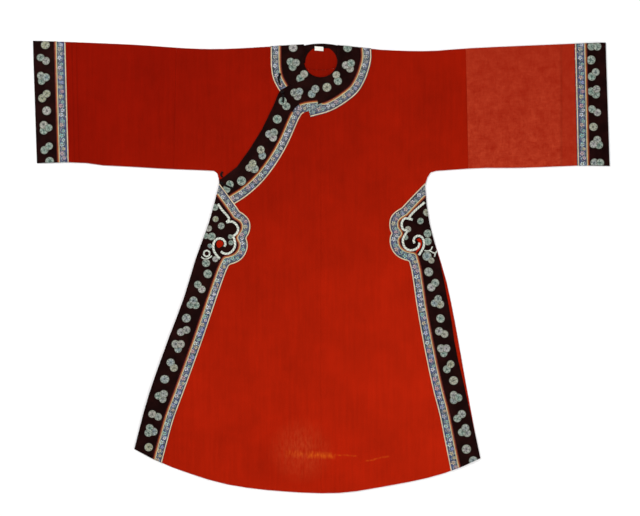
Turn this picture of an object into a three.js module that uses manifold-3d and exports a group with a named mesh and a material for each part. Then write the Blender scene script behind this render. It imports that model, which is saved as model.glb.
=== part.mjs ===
// A full-length silk robe laid flat on its back: wide straight sleeves, a flap that closes over the
// wearer's right side, black borders with a ribbon inside them, and side slits with cloud-shaped heads.
// Each panel is cut flat and folded over the shoulder, so a place on the cloth is given in the pattern:
// x across the robe, v along it, below zero on the front, above zero on the back. Millimetres.
// Left and right are the wearer's, +X is left, +Y points to the shoulders and z = 0 is the surface below.

import * as THREE from 'three';
import { mergeVertices } from 'three/addons/utils/BufferGeometryUtils.js';
import Module from 'manifold-3d';

const wasm = await Module();
wasm.setup();

// Walls and clearances
const CLOTH = 1.2; // silk with its backing
const TRIM = 1.0; // border, ribbon, braid, binding or label
const GAP = 0.3; // between neighbouring pieces
const REST = CLOTH + GAP; // underside of a front that lies on the back
const FOLD_RADIUS = CLOTH + GAP / 2; // outside of the shoulder fold
const FOLD = 2; // half of the pattern's stretch that turns over the shoulder
const FOLD_LINES = [-FOLD, -1, 0, 1, FOLD];
const YOKE = 40; // below the fold, the stretch that takes up the shoulder line's slope
const CUFF_RIBBON_RAISE = 0.8; // how far a cuff's ribbon stands proud on the front

// Slack of the layers: how high they rise, and how far inside the edge that starts and ends
const SLACK_UNDER = { rise: 1.2, from: 30, to: 115 };
const SLACK_OUTER = { rise: 2.7, from: 30, to: 115 };
const UNDERLAP_LIFT = { from: 72, to: 105 }; // fades out this far from the layer below
const SAME_HEIGHT = 0.12; // cloth this near to level is drawn level

// Widths, half of them where a strip is drawn about its centre line
const HALF_RIBBON = { neck: 16, flap: 13.5, neckRight: 15, sideRight: 14, sideLeft: 15 };
const HALF_BRAID = 4.5;
const PATH_STEP = 9;
const PATH_TOLERANCE = 0.8; // how far a drawn bend may cut its curve
const EDGE_STEP = 60; // between the places drawn on a panel's edge
const NECK_STEP = 12; // the same on the neckline, in degrees
const STRIP_SIDES = 10; // of the round drawn at a strip's bends
const STRIP_TOLERANCE = 0.12; // less than half a gap, so that neighbours stay apart

const NECK = { x: -1, y: -45, radius: 51 };
const FLAP_ANGLE = -116; // where the flap leaves the neckline, degrees
const BACK_NECKLINE = FOLD + 1; // in the pattern's v
const BACK_BAND = { border: 72, ribbon: 30 }; // depth round the back of the neck
const NECK_HALF = { border: 122, ribbon: 153 };
const UNDERLAP = { edge: 12, top: -140, bottom: -1147, inset: 80, insetFrom: -520 };
const UNDERLAP_ARMPIT = { x: -303, y: -432 };
const CORNERS = { right: { x: -569, y: -1229 }, left: { x: 486, y: -1257 } };
const SIDE_TOPS = { right: -421, left: -424 };

// The uncut cloth's reach in the pattern
const HALF_SPAN = 905;
const LENGTH = 1405;

const table = (columns, rows) =>
  rows.map((row) => Object.fromEntries(columns.map((column, i) => [column, row[i]])));

// Lines of the grid that the cloth bends along, closer where creases lie
const ACROSS = table(['from', 'to', 'steps'], [
  [-HALF_SPAN, -745, 3], [-745, -185, 15], [-185, 185, 6], [185, 395, 5], [395, HALF_SPAN, 8],
]);
const ALONG_FRONT = table(['from', 'to', 'steps'], [
  [-LENGTH, -1150, 5], [-1150, -430, 11], [-430, -FOLD - YOKE, 8], [-FOLD - YOKE, -FOLD, 1],
]);
const ALONG_BACK = table(['from', 'to', 'steps'], [[FOLD, FOLD + YOKE, 1], [FOLD + YOKE, LENGTH, 1]]);

const SHOULDER = table(['x', 'y'], [
  [-878, 15], [-583, 3], [-339, -11], [-95, 0], [3, 4], [101, -5], [198, -14], [330, -17],
  [442, -9], [637, 0], [880, 10],
]);
const UNDERSLEEVE_RIGHT = table(['x', 'y'], [
  [-878, -358], [-735, -355], [-680, -363], [-583, -368], [-485, -374], [-339, -380],
]);
const UNDERSLEEVE_LEFT = table(['x', 'y'], [
  [351, -381], [393, -378], [491, -372], [589, -372], [686, -369], [784, -365], [880, -366],
]);
const ARMPIT_RIGHT = table(['x', 'y'], [[-339, -380], [-326, -381], [-316, -389], [-312, -403]]);
const ARMPIT_LEFT = table(['x', 'y'], [[351, -381], [334, -386], [325, -400], [317, -424]]);
const SIDE_RIGHT = table(['y', 'x'], [
  [-421, -310], [-534, -340], [-647, -381], [-769, -418], [-891, -464], [-1074, -528], [-1229, -569],
]);
const SIDE_LEFT_BACK = table(['y', 'x'], [
  [-424, 317], [-518, 326], [-588, 343], [-708, 380], [-830, 406], [-1013, 439], [-1196, 473],
  [-1257, 486],
]);
const SIDE_LEFT_FRONT = table(['y', 'x'], [
  [-424, 317], [-518, 326], [-588, 343], [-677, 367], [-750, 381], [-834, 397], [-927, 411],
  [-1007, 430], [-1118, 455], [-1196, 473], [-1257, 486],
]);
const HEM = table(['x', 'y'], [
  [-569, -1229], [-485, -1272], [-387, -1308], [-290, -1336], [-143, -1356], [52, -1363],
  [198, -1342], [345, -1312], [442, -1278], [486, -1257],
]);

// Seams across a sleeve, by their distance from the robe's middle at the top and at the underarm
const SEAMS_RIGHT = { sleeve: [441, 449], ribbon: [779, 770], cuff: [813, 801], end: [878, 866] };
const SEAMS_LEFT = { sleeve: [441, 449], ribbon: [773, 781], cuff: [808, 816], end: [868, 880] };

const FLAP_AT_NECK = table(['x', 'y'], [
  [-46, -103], [-72, -112], [-95, -120], [-122, -134], [-131, -148],
]);
const FLAP_DIAGONAL = table(['x', 'y'], [
  [-131, -148], [-144, -181], [-180, -255], [-216, -313], [-256, -369], [-294, -398], [-310, -409],
]);

// Places past the cloth's edge that close the outline of a border
const FLAP_FOOT = table(['x', 'y'], [[-330, -409], [-325, -430], [-293, -464]]);
const NECK_FOOT = { x: -60, y: -190 };
const BELOW_FLAP = table(['x', 'y'], [[-330, -500], [0, -500]]);
const PAST_SIDE = {
  right: table(['x', 'y'], [[-700, -1300], [-700, -410]]),
  left: table(['x', 'y'], [[700, -1330], [700, -412]]),
};

// Centre lines of the ribbons, one list for each stretch between corners
const RIBBON_NECK = table(['x', 'y'], [
  [137, -6], [138, -37], [131, -69], [120, -99], [102, -130], [79, -151], [26, -184], [-36, -202],
]);
const RIBBON_FLAP = table(['x', 'y'], [
  [-9, -182], [-46, -187], [-66, -195], [-78, -212], [-115, -294], [-149, -352], [-189, -404],
  [-234, -445], [-274, -471],
]);
const RIBBON_NECK_RIGHT = table(['x', 'y'], [
  [-138, -6], [-138, -37], [-137, -67], [-131, -98], [-108, -140],
]);
const RIBBON_SIDE_RIGHT = [
  table(['x', 'y'], [[-336, -410], [-310, -442], [-276, -488], [-257, -516]]),
  table(['x', 'y'], [[-257, -516], [-243, -524], [-232, -536], [-229, -549], [-232, -566], [-245, -585]]),
  table(['x', 'y'], [
    [-245, -585], [-239, -596], [-237, -610], [-243, -629], [-255, -643], [-272, -651], [-289, -655],
  ]),
  table(['x', 'y'], [
    [-289, -655], [-302, -683], [-376, -897], [-432, -1052], [-461, -1130], [-483, -1208], [-507, -1300],
  ]),
];
const RIBBON_SIDE_LEFT = [
  table(['x', 'y'], [[345, -412], [316, -441], [286, -472], [254, -506]]),
  table(['x', 'y'], [[254, -506], [237, -516], [226, -528], [223, -542], [225, -558], [235, -572]]),
  table(['x', 'y'], [
    [235, -572], [226, -582], [224, -596], [228, -613], [239, -628], [257, -638], [280, -643],
  ]),
  table(['x', 'y'], [
    [280, -643], [290, -683], [306, -790], [328, -912], [356, -1045], [375, -1118], [390, -1193],
    [418, -1330],
  ]),
];
const BRAID_RIGHT = [
  table(['x', 'y'], [[-314, -482], [-299, -503], [-287, -516], [-280, -528], [-288, -538]]),
  table(['x', 'y'], [
    [-288, -538], [-270, -536], [-258, -545], [-252, -559], [-258, -573], [-268, -580],
  ]),
  table(['x', 'y'], [
    [-268, -580], [-263, -594], [-262, -610], [-269, -624], [-282, -633], [-295, -633], [-305, -627],
  ]),
];
const SCROLL_RIGHT = table(['x', 'y'], [
  [-308, -649], [-318, -638], [-326, -625], [-328, -610], [-325, -597], [-317, -589], [-306, -587],
  [-296, -592], [-291, -603], [-294, -612],
]);
const BRAID_LEFT = [
  table(['x', 'y'], [[316, -477], [297, -493], [277, -512], [269, -524], [279, -530]]),
  table(['x', 'y'], [[279, -530], [256, -526], [247, -536], [246, -549], [252, -561], [264, -561]]),
  table(['x', 'y'], [
    [264, -561], [258, -573], [250, -588], [250, -602], [256, -615], [269, -623], [285, -621],
    [297, -612], [300, -600],
  ]),
];
const SCROLL_LEFT = table(['x', 'y'], [
  [285, -602], [282, -592], [287, -583], [297, -579], [308, -584], [314, -598], [312, -614],
  [304, -629], [298, -638],
]);

// Creases: middle, length, lean from the robe's length (degrees, + to the left going down),
// height and half width of the ridge
const CREASE = ['x', 'y', 'length', 'lean', 'rise', 'spread'];
const CREASE_END = { from: 0.45, out: 1.25 }; // where it starts to fade and is gone, in half lengths
const CREASES_UNDER = table(CREASE, [
  [-702, -275, 131, 31, 2.0, 17],
  [-573, -226, 122, 35, 2.2, 17],
  [-506, -171, 177, 4, 1.8, 18],
  [-454, -329, 75, 43, 2.0, 15],
  [-375, -238, 120, 6, 2.0, 17],
  [-305, -244, 220, 1, 2.6, 18],
  [-213, -195, 98, 7, 2.0, 17],
]);
const CREASES_OUTER = table(CREASE, [
  [226, -201, 74, 35, 1.8, 17],
  [332, -256, 90, 8, 1.8, 17],
  [-387, -1190, 215, 4, 2.6, 20],
  [-316, -1211, 165, 1, 2.2, 20],
  [287, -1183, 95, 3, 2.0, 20],
  [354, -1235, 120, 6, 2.0, 20],
]);

// Cord fasteners, with how far above the cloth the loop lies, and the label inside the back of the neck
const CORD = { radius: 2.2, sides: 6, steps: 6 };
const KNOT = { radius: 5.2, around: 10, down: 8 };
const FROGS = {
  neck: {
    bed: GAP + TRIM,
    loop: table(['x', 'y'], [[-124, -84], [-129, -100], [-125, -117]]),
    knot: { x: -118, y: -141 },
    stem: table(['x', 'y'], [[-116, -149], [-115, -160], [-115, -172]]),
  },
  armpit: {
    bed: 0,
    loop: table(['x', 'y'], [[-299, -384], [-305, -391], [-302, -398]]),
    knot: { x: -302, y: -419 },
    stem: table(['x', 'y'], [[-294, -424], [-283, -429], [-271, -434]]),
  },
};
const LABEL = table(['x', 'y'], [[-20, 0], [8, -2], [6, -16], [-18, -16]]);
const BINDING = { half: 48, depth: 7, edge: BACK_NECKLINE + GAP };

const FINISH = {
  silk: { color: 0x9c1a0b, roughness: 0.5 },
  faded: { color: 0xa62c17, roughness: 0.55 },
  satin: { color: 0x1b0a0b, roughness: 0.45 },
  ribbon: { color: 0x8089b8, roughness: 0.6 },
  braid: { color: 0xd6d5cb, roughness: 0.7 },
  label: { color: 0xe4e1da, roughness: 0.85 },
  cord: { color: 0x141012, roughness: 0.6 },
};

const { clamp, lerp, smoothstep, degToRad, radToDeg } = THREE.MathUtils;
const point = (x, y) => new THREE.Vector2(x, y);
const spot = (row) => point(row.x, row.y);
const reversed = (points) => [...points].reverse();

// A smooth function through a table's rows, from one column to another
function through(rows, from, to) {
  const known = [...rows].sort((a, b) => a[from] - b[from]);
  const slope = (i) => {
    const low = known[Math.max(i - 1, 0)];
    const high = known[Math.min(i + 1, known.length - 1)];
    return (high[to] - low[to]) / (high[from] - low[from]);
  };
  return (value) => {
    const last = known.length - 2;
    let i = 0;
    while (i < last && value > known[i + 1][from]) i += 1;
    const width = known[i + 1][from] - known[i][from];
    const t = clamp((value - known[i][from]) / width, 0, 1);
    const [a, b] = [slope(i) * width, slope(i + 1) * width];
    const rise = known[i + 1][to] - known[i][to];
    return known[i][to] + t * (a + t * (3 * rise - 2 * a - b + t * (a + b - 2 * rise)));
  };
}

const shoulder = through(SHOULDER, 'x', 'y');
const undersleeveRight = through(UNDERSLEEVE_RIGHT, 'x', 'y');
const undersleeveLeft = through(UNDERSLEEVE_LEFT, 'x', 'y');
const sideRight = through(SIDE_RIGHT, 'y', 'x');
const sideLeftBack = through(SIDE_LEFT_BACK, 'y', 'x');
const sideLeftFront = through(SIDE_LEFT_FRONT, 'y', 'x');
const hem = through(HEM, 'x', 'y');

// Places on an edge, from one end to the other and no further apart than a step
function along(from, to, at, step = EDGE_STEP) {
  const count = Math.max(1, Math.ceil(Math.abs(to - from) / step));
  return Array.from({ length: count + 1 }, (_, i) => at(lerp(from, to, i / count)));
}

// The neckline of the front, between two angles about its middle
const neckArc = (from, to) =>
  along(from, to, (angle) => {
    const turn = degToRad(angle);
    return point(NECK.x + NECK.radius * Math.cos(turn), NECK.y + NECK.radius * Math.sin(turn));
  }, NECK_STEP);
const neckAngle = (x) => -radToDeg(Math.acos((x - NECK.x) / NECK.radius));

// A place of the laid robe in the pattern of its front or its back
function fromFold(p) {
  const top = shoulder(p.x);
  return FOLD + (p.y > -YOKE ? (YOKE * (top - p.y)) / (top + YOKE) : -p.y);
}
const front = (p) => point(p.x, -fromFold(p));
const back = (p) => point(p.x, fromFold(p));

// Edges as they lie: each side from its top to just above its corner, each hem from corner to centre seam
const centre = { right: -GAP / 2, left: GAP / 2 };
const hemTo = (side) => along(CORNERS[side].x, centre[side], (x) => point(x, hem(x)));
const sideEdge = (side, edge) =>
  along(SIDE_TOPS[side], CORNERS[side].y, (y) => point(edge(y), y)).slice(0, -1);
const rightHem = hemTo('right');
const leftHem = hemTo('left');
const rightSide = sideEdge('right', sideRight);
const leftSideFront = sideEdge('left', sideLeftFront);
const leftSideBack = sideEdge('left', sideLeftBack);
const armpitRight = ARMPIT_RIGHT.map(spot);
const armpitLeft = ARMPIT_LEFT.slice(0, -1).map(spot);
const flapEdge = [...FLAP_AT_NECK, ...FLAP_DIAGONAL.slice(1)].map(spot);

const sign = { right: -1, left: 1 };
const under = { right: undersleeveRight, left: undersleeveLeft };
const seams = { right: SEAMS_RIGHT, left: SEAMS_LEFT };

// The two ends of a seam across a sleeve, moved along the sleeve by a shift
function seam(side, name, shift = 0) {
  const [top, bottom] = seams[side][name].map((far) => sign[side] * (far + shift));
  return { top, bottom: point(bottom, under[side](bottom)) };
}

// The underarm edge of a sleeve, from the armpit to the cuff's end
const underarm = (side, from = seam(side, 'sleeve').bottom.x, to = seam(side, 'end').bottom.x) =>
  along(from, to, (x) => point(x, under[side](x)));

// Outline of the front as it lies, for the distance to its edge
const silhouette = [
  ...along(-SEAMS_RIGHT.end[0], SEAMS_LEFT.end[0], (x) => point(x, shoulder(x))),
  ...reversed(underarm('left')),
  ...armpitLeft,
  ...leftSideFront,
  ...leftHem,
  ...reversed(rightHem),
  ...reversed(rightSide),
  ...reversed(armpitRight),
  ...underarm('right'),
];

// The right front as it lies, with its hidden part under the flap
const rightFront = [
  point(NECK.x - NECK.radius, 0),
  ...neckArc(-180, FLAP_ANGLE),
  point(UNDERLAP.edge, UNDERLAP.top),
  point(UNDERLAP.edge, UNDERLAP.bottom),
  ...along(UNDERLAP.bottom, UNDERLAP.insetFrom, (y) => point(sideRight(y) + UNDERLAP.inset, y)),
  spot(UNDERLAP_ARMPIT),
  ...reversed(armpitRight),
  seam('right', 'sleeve').bottom,
  point(-SEAMS_RIGHT.sleeve[0], 0),
];

// How far a place lies inside an outline, below zero outside it
function distanceInside(p, outline) {
  let nearest = Infinity;
  let inside = false;
  outline.forEach((b, i) => {
    const a = outline[(i + outline.length - 1) % outline.length];
    const edge = b.clone().sub(a);
    const t = clamp(p.clone().sub(a).dot(edge) / Math.max(edge.lengthSq(), 1e-9), 0, 1);
    nearest = Math.min(nearest, p.distanceTo(a.clone().addScaledVector(edge, t)));
    const crosses = a.y > p.y !== b.y > p.y && p.x < a.x + ((p.y - a.y) / (b.y - a.y)) * (b.x - a.x);
    if (crosses) inside = !inside;
  });
  return inside ? nearest : -nearest;
}

// The height that the creases add at a place: round across, and fading out past their ends
function creases(p, rows) {
  return rows.reduce((sum, crease) => {
    const lean = degToRad(crease.lean);
    const run = point(Math.sin(lean), -Math.cos(lean));
    const away = p.clone().sub(spot(crease));
    const t = away.dot(run) / (crease.length / 2);
    const across = away.cross(run) / crease.spread;
    const fade = smoothstep(CREASE_END.out - Math.abs(t), 0, CREASE_END.out - CREASE_END.from);
    return sum + crease.rise * Math.exp(-across * across) * fade;
  }, 0);
}

// Undersides of the two front layers above the surface below
const slack = (p, { rise, from, to }) => rise * smoothstep(distanceInside(p, silhouette), from, to);
const heightUnder = (p) => REST + slack(p, SLACK_UNDER) + creases(p, CREASES_UNDER);
function heightOuter(p) {
  const free = REST + slack(p, SLACK_OUTER) + creases(p, CREASES_OUTER);
  const away = -distanceInside(p, rightFront);
  const lift = 1 - smoothstep(away, UNDERLAP_LIFT.from, UNDERLAP_LIFT.to);
  return Math.max(free, lerp(REST, heightUnder(p) + REST, lift));
}

// The grid
const spaced = (bands) =>
  bands.flatMap(({ from, to, steps }) =>
    Array.from({ length: steps }, (_, i) => lerp(from, to, i / steps)));
const gridX = [...spaced(ACROSS), HALF_SPAN];
const gridV = [...spaced(ALONG_FRONT), ...FOLD_LINES, ...spaced(ALONG_BACK).slice(1), LENGTH];
const gridTop = gridX.map(shoulder);
const laidY = (i, v) => (Math.abs(v) > FOLD ? FOLD - Math.abs(v) : gridTop[i]);

// A layer of the front by the height of its underside at each crossing of the grid
function layerOf(rule, { rise }) {
  const level = REST + rise;
  const settled = (height) => (Math.abs(height - level) < SAME_HEIGHT ? level : height);
  const heights = gridV.filter((v) => v <= -FOLD).map((v) =>
    gridX.map((x, i) => settled(rule(point(x, laidY(i, v))))));
  return { heights, level };
}
const LAYER = { under: layerOf(heightUnder, SLACK_UNDER), outer: layerOf(heightOuter, SLACK_OUTER) };

// A grid crossing of a layer, so far outside the cloth's outer face
function crossing(layer, i, j, out) {
  const [x, v] = [gridX[i], gridV[j]];
  const y = laidY(i, v);
  if (v <= -FOLD) return new THREE.Vector3(x, y, layer.heights[j][i] + CLOTH + out);
  if (v >= FOLD) return new THREE.Vector3(x, y, -out);
  const turn = (v / FOLD) * (Math.PI / 2);
  const radius = FOLD_RADIUS + out;
  return new THREE.Vector3(x, y + radius * Math.cos(turn), FOLD_RADIUS - radius * Math.sin(turn));
}

function cellOf(lines, value) {
  let i = 0;
  while (i < lines.length - 2 && value >= lines[i + 1]) i += 1;
  return [i, clamp((value - lines[i]) / (lines[i + 1] - lines[i]), 0, 1)];
}

// Where a place of the pattern lies in the robe, on the flat triangles between the grid's lines
function place(layer, x, v, out) {
  const [i, a] = cellOf(gridX, x);
  const [j, b] = cellOf(gridV, v);
  const low = crossing(layer, i, j, out);
  const high = crossing(layer, i + 1, j + 1, out);
  const side = a >= b ? crossing(layer, i + 1, j, out) : crossing(layer, i, j + 1, out);
  return low.multiplyScalar(1 - Math.max(a, b))
    .addScaledVector(side, Math.abs(a - b))
    .addScaledVector(high, Math.min(a, b));
}

const LEVEL_FACES = { front: { out: 0, in: 1 }, back: { out: 2, in: 3 }, count: 4 };
const solid = (positions, triangles, faces) =>
  new wasm.Manifold(new wasm.Mesh({
    numProp: 3,
    vertProperties: new Float32Array(positions),
    triVerts: new Uint32Array(triangles),
    ...(faces && { faceID: new Uint32Array(faces) }),
  }));

// The uncut cloth of a layer in the pattern, one unit thick. Each triangle of the grid is a face of its
// own, but all level ones are one face, which the cut then draws with few triangles.
function uncut({ heights, level: levelHeight }) {
  const columns = gridX.length;
  const at = (i, j, k) => (k * gridV.length + j) * columns + i;
  const positions = [0, 1].flatMap((k) => gridV.flatMap((v) => gridX.flatMap((x) => [x, v, k])));
  const triangles = [];
  const faces = [];
  const face = (corners, shared = faces.length + LEVEL_FACES.count) => {
    triangles.push(...corners);
    faces.push(shared);
  };
  const isLevel = (i, j) =>
    gridV[j] > FOLD || (gridV[j + 1] <= -FOLD &&
      [heights[j], heights[j + 1]].every((row) => row[i] === levelHeight && row[i + 1] === levelHeight));
  const wall = (a, b, c, d) => {
    face([a, b, c]);
    face([a, c, d]);
  };
  const [right, far] = [columns - 1, gridV.length - 1];
  for (let j = 0; j < far; j += 1) {
    for (let i = 0; i < right; i += 1) {
      const level = isLevel(i, j) ? LEVEL_FACES[gridV[j] > 0 ? 'back' : 'front'] : {};
      face([at(i, j, 1), at(i + 1, j, 1), at(i + 1, j + 1, 1)], level.out);
      face([at(i, j, 1), at(i + 1, j + 1, 1), at(i, j + 1, 1)], level.out);
      face([at(i, j, 0), at(i + 1, j + 1, 0), at(i + 1, j, 0)], level.in);
      face([at(i, j, 0), at(i, j + 1, 0), at(i + 1, j + 1, 0)], level.in);
    }
    wall(at(0, j + 1, 0), at(0, j, 0), at(0, j, 1), at(0, j + 1, 1));
    wall(at(right, j, 0), at(right, j + 1, 0), at(right, j + 1, 1), at(right, j, 1));
  }
  for (let i = 0; i < right; i += 1) {
    wall(at(i, 0, 0), at(i + 1, 0, 0), at(i + 1, 0, 1), at(i, 0, 1));
    wall(at(i + 1, far, 0), at(i, far, 0), at(i, far, 1), at(i + 1, far, 1));
  }
  return solid(positions, triangles, faces);
}
LAYER.under.cloth = uncut(LAYER.under);
LAYER.outer.cloth = uncut(LAYER.outer);

// A cutter in the pattern: an upright prism on an outline, taller than the uncut cloth is thick
function prism(outline) {
  const geometry = new THREE.ExtrudeGeometry(new THREE.Shape(outline), { depth: 3, bevelEnabled: false });
  geometry.translate(0, 0, -1);
  geometry.deleteAttribute('normal');
  geometry.deleteAttribute('uv');
  const merged = mergeVertices(geometry, 1e-4);
  return solid(merged.attributes.position.array, merged.index.array);
}

const rectangle = (x0, v0, x1, v1) =>
  prism([point(x0, v0), point(x1, v0), point(x1, v1), point(x0, v1)]);
const onRound = (radius, turn) => point(radius * Math.cos(turn), radius * Math.sin(turn));
const roundOutline = (radius, sides) =>
  Array.from({ length: sides }, (_, i) => onRound(radius, (i / sides) * 2 * Math.PI));

// Leaves out the places of a path that its neighbours' straight line passes close by
function thinned(path) {
  const [start, end] = [path[0], path[path.length - 1]];
  const run = end.clone().sub(start).normalize();
  const off = path.map((p) => Math.abs(p.clone().sub(start).cross(run)));
  const widest = off.indexOf(Math.max(...off));
  if (off[widest] < PATH_TOLERANCE) return [start, end];
  return [...thinned(path.slice(0, widest + 1)), ...thinned(path.slice(widest)).slice(1)];
}

// A smooth path through a table's rows
function smooth(rows) {
  const through3 = rows.map(({ x, y }) => new THREE.Vector3(x, y, 0));
  const curve = new THREE.CatmullRomCurve3(through3, false, 'centripetal');
  const count = Math.max(2, Math.round(curve.getLength() / PATH_STEP));
  return thinned(curve.getSpacedPoints(count).map(({ x, y }) => point(x, y)));
}

const chain = (stretches) => stretches.flatMap((rows, i) => smooth(rows).slice(i ? 1 : 0));

// A cutter for a strip about a path of the pattern: square at its ends, round at its bends
function strip(path, half, sides = STRIP_SIDES) {
  const aside = (p, offset, times) => p.clone().addScaledVector(offset, times);
  const lengths = path.slice(1).map((end, i) => {
    const start = path[i];
    const run = end.clone().sub(start).setLength(half);
    const left = point(-run.y, run.x);
    return prism([aside(start, left, -1), aside(end, left, -1), aside(end, left, 1), aside(start, left, 1)]);
  });
  const bends = path.slice(1, -1).map((p) => prism(roundOutline(half, sides).map((q) => q.add(p))));
  return [...lengths, ...bends].reduce((whole, next) => whole.add(next)).simplify(STRIP_TOLERANCE);
}

const robe = new THREE.Group();

function addMesh(name, geometry, finish) {
  const material = new THREE.MeshStandardMaterial({ ...FINISH[finish], metalness: 0, flatShading: true });
  const mesh = new THREE.Mesh(geometry, material);
  mesh.name = name;
  robe.add(mesh);
}

// Cuts a piece out of the cloth and lays it on the robe, between two distances from the outer face
function lay(name, cutter, finish, { layer = LAYER.outer, inner = -CLOTH, outer = 0 } = {}) {
  const mesh = layer.cloth.intersect(cutter).getMesh();
  const positions = [];
  for (let i = 0; i < mesh.vertProperties.length; i += mesh.numProp) {
    const [x, v, level] = mesh.vertProperties.slice(i, i + 3);
    const top = typeof outer === 'function' ? outer(v) : outer;
    positions.push(...place(layer, x, v, lerp(inner, top, level)).toArray());
  }
  const geometry = new THREE.BufferGeometry();
  geometry.setAttribute('position', new THREE.Float32BufferAttribute(positions, 3));
  geometry.setIndex([...mesh.triVerts]);
  addMesh(name, geometry, finish);
}

const OVER = { inner: GAP, outer: GAP + TRIM };
const BRAIDED = { inner: 2 * GAP + TRIM, outer: 2 * (GAP + TRIM) };
const INSIDE_BACK = { inner: -CLOTH - GAP - TRIM, outer: -CLOTH - GAP };
const INSIDE_BACK_AGAIN = { inner: -CLOTH - 2 * (GAP + TRIM), outer: -CLOTH - 2 * GAP - TRIM };

// Outlines of the panels in the pattern
const onFront = (points) => points.map(front);
const onBack = (points) => points.map(back);

const necklineLeft = neckArc(neckAngle(centre.left), 0);
const necklineOverlap = neckArc(neckAngle(centre.right), FLAP_ANGLE);
const frontLeftEdges = [...armpitLeft, ...leftSideFront, ...leftHem];

// A body panel's end at the sleeve seam, from the front's underarm over the shoulder to the back's
function sleeveEnd(side) {
  const { top, bottom } = seam(side, 'sleeve', -GAP / 2);
  return [front(bottom), point(top, -FOLD), point(top, FOLD), back(bottom)];
}

const bodyLeft = prism([
  ...onFront(necklineLeft),
  point(NECK.x + NECK.radius, BACK_NECKLINE),
  point(centre.left, BACK_NECKLINE),
  ...onBack([...reversed(leftHem), ...reversed(leftSideBack), ...reversed(armpitLeft)]),
  ...reversed(sleeveEnd('left')),
  ...onFront(frontLeftEdges),
]);

const bodyRight = prism([
  point(NECK.x - NECK.radius, 0),
  ...onFront(rightFront.slice(1, -2)),
  ...sleeveEnd('right'),
  ...onBack([...armpitRight, ...rightSide, ...rightHem]),
  point(centre.right, BACK_NECKLINE),
  point(NECK.x - NECK.radius, BACK_NECKLINE),
]);

const overlapFront = prism(onFront([...necklineOverlap, ...flapEdge, ...rightSide, ...rightHem]));

// A sleeve or cuff between two seams, folded over the top of the arm
function sleeveCutter(side, near, far, nearShift, farShift) {
  const [inner, outer] = [seam(side, near, nearShift), seam(side, far, farShift)];
  const below = underarm(side, inner.bottom.x, outer.bottom.x);
  return prism([
    ...onFront(below),
    point(outer.top, -FOLD),
    point(outer.top, FOLD),
    ...onBack(reversed(below)),
    point(inner.top, FOLD),
    point(inner.top, -FOLD),
  ]);
}

// Ribbons, each also as a wider cutter that keeps its neighbours clear
const ribbon = (path, half) => (extra = 0) => strip(path, half + extra);
const overShoulder = (rows) => [point(rows[0].x, 0), ...onFront(smooth(rows))];
const neckPath = overShoulder(RIBBON_NECK);
const flapPath = onFront(smooth(RIBBON_FLAP));
const neckRightPath = overShoulder(RIBBON_NECK_RIGHT);
const sidePath = { right: chain(RIBBON_SIDE_RIGHT), left: chain(RIBBON_SIDE_LEFT) };
const neckRibbon = ribbon(neckPath, HALF_RIBBON.neck);
const flapRibbon = ribbon(flapPath, HALF_RIBBON.flap);
const neckRightRibbon = ribbon(neckRightPath, HALF_RIBBON.neckRight);
const sideRibbon = {
  front: {
    right: ribbon(onFront(sidePath.right), HALF_RIBBON.sideRight),
    left: ribbon(onFront(sidePath.left), HALF_RIBBON.sideLeft),
  },
  back: {
    right: ribbon(onBack(sidePath.right), HALF_RIBBON.sideRight),
    left: ribbon(onBack(sidePath.left), HALF_RIBBON.sideLeft),
  },
};

// The outer front without its centre seam, for the borders that cross it, and the back
const frontOnly = rectangle(-HALF_SPAN, -LENGTH, HALF_SPAN, 0);
const backOnly = rectangle(-HALF_SPAN, FOLD, HALF_SPAN, LENGTH);
const wholeFront = prism([
  ...onFront([...reversed(necklineOverlap), ...necklineLeft]),
  point(NECK.x + NECK.radius, 0),
  point(SEAMS_LEFT.sleeve[0], 0),
  ...onFront([seam('left', 'sleeve').bottom, ...frontLeftEdges]),
  ...onFront([...reversed(rightHem), ...reversed(rightSide), ...reversed(flapEdge)]),
]);
const wholeBack = bodyLeft.add(bodyRight).intersect(backOnly);

// Border areas, from a ribbon's centre line to past the edge of the cloth
const sideArea = (side, on) => prism(on([...sidePath[side], ...PAST_SIDE[side].map(spot)]));
const flapArea = prism([
  point(NECK.x + NECK.radius, 0),
  ...onFront([...neckArc(0, FLAP_ANGLE), ...flapEdge, ...FLAP_FOOT.map(spot)]),
  ...reversed(flapPath),
  ...reversed(neckPath),
]);
const neckRightArea = prism([
  point(NECK.x - NECK.radius, 0),
  ...onFront([...neckArc(-180, FLAP_ANGLE), spot(NECK_FOOT)]),
  ...reversed(neckRightPath),
]);

// What the flap covers of the right front, and the clearance before it
const clearOfFlap = point(-GAP / 2, GAP);
const flapShadow = prism(onFront([
  ...[...necklineOverlap, ...flapEdge].map((p) => p.clone().add(clearOfFlap)),
  ...BELOW_FLAP.map(spot),
]));

// Round the back of the neck: half an ellipse down from the shoulder fold
const neckBand = (half, depth) =>
  prism(along(180, 0, (angle) => {
    const turn = degToRad(angle);
    return point(NECK.x + half * Math.cos(turn), BACK_NECKLINE + depth * Math.sin(turn));
  }, NECK_STEP));
const borderBand = (extra = 0) => neckBand(NECK_HALF.border + extra, BACK_BAND.border + extra);
const ribbonBand = (extra = 0) =>
  neckBand(NECK_HALF.ribbon + extra, BACK_BAND.border + BACK_BAND.ribbon + extra);
const belowNeckline = rectangle(-HALF_SPAN, BACK_NECKLINE + GAP, HALF_SPAN, LENGTH);

// Panels, with the back's borders let into them so that the robe lies flat
const letIn = (side) => sideArea(side, onBack).add(sideRibbon.back[side](GAP)).intersect(backOnly);
const panel = (cutter, side) => cutter.subtract(letIn(side)).subtract(ribbonBand(GAP));
lay('body_left', panel(bodyLeft, 'left'), 'silk');
lay('body_right', panel(bodyRight, 'right'), 'silk', { layer: LAYER.under });
lay('overlap_front', overlapFront, 'silk');

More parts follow.
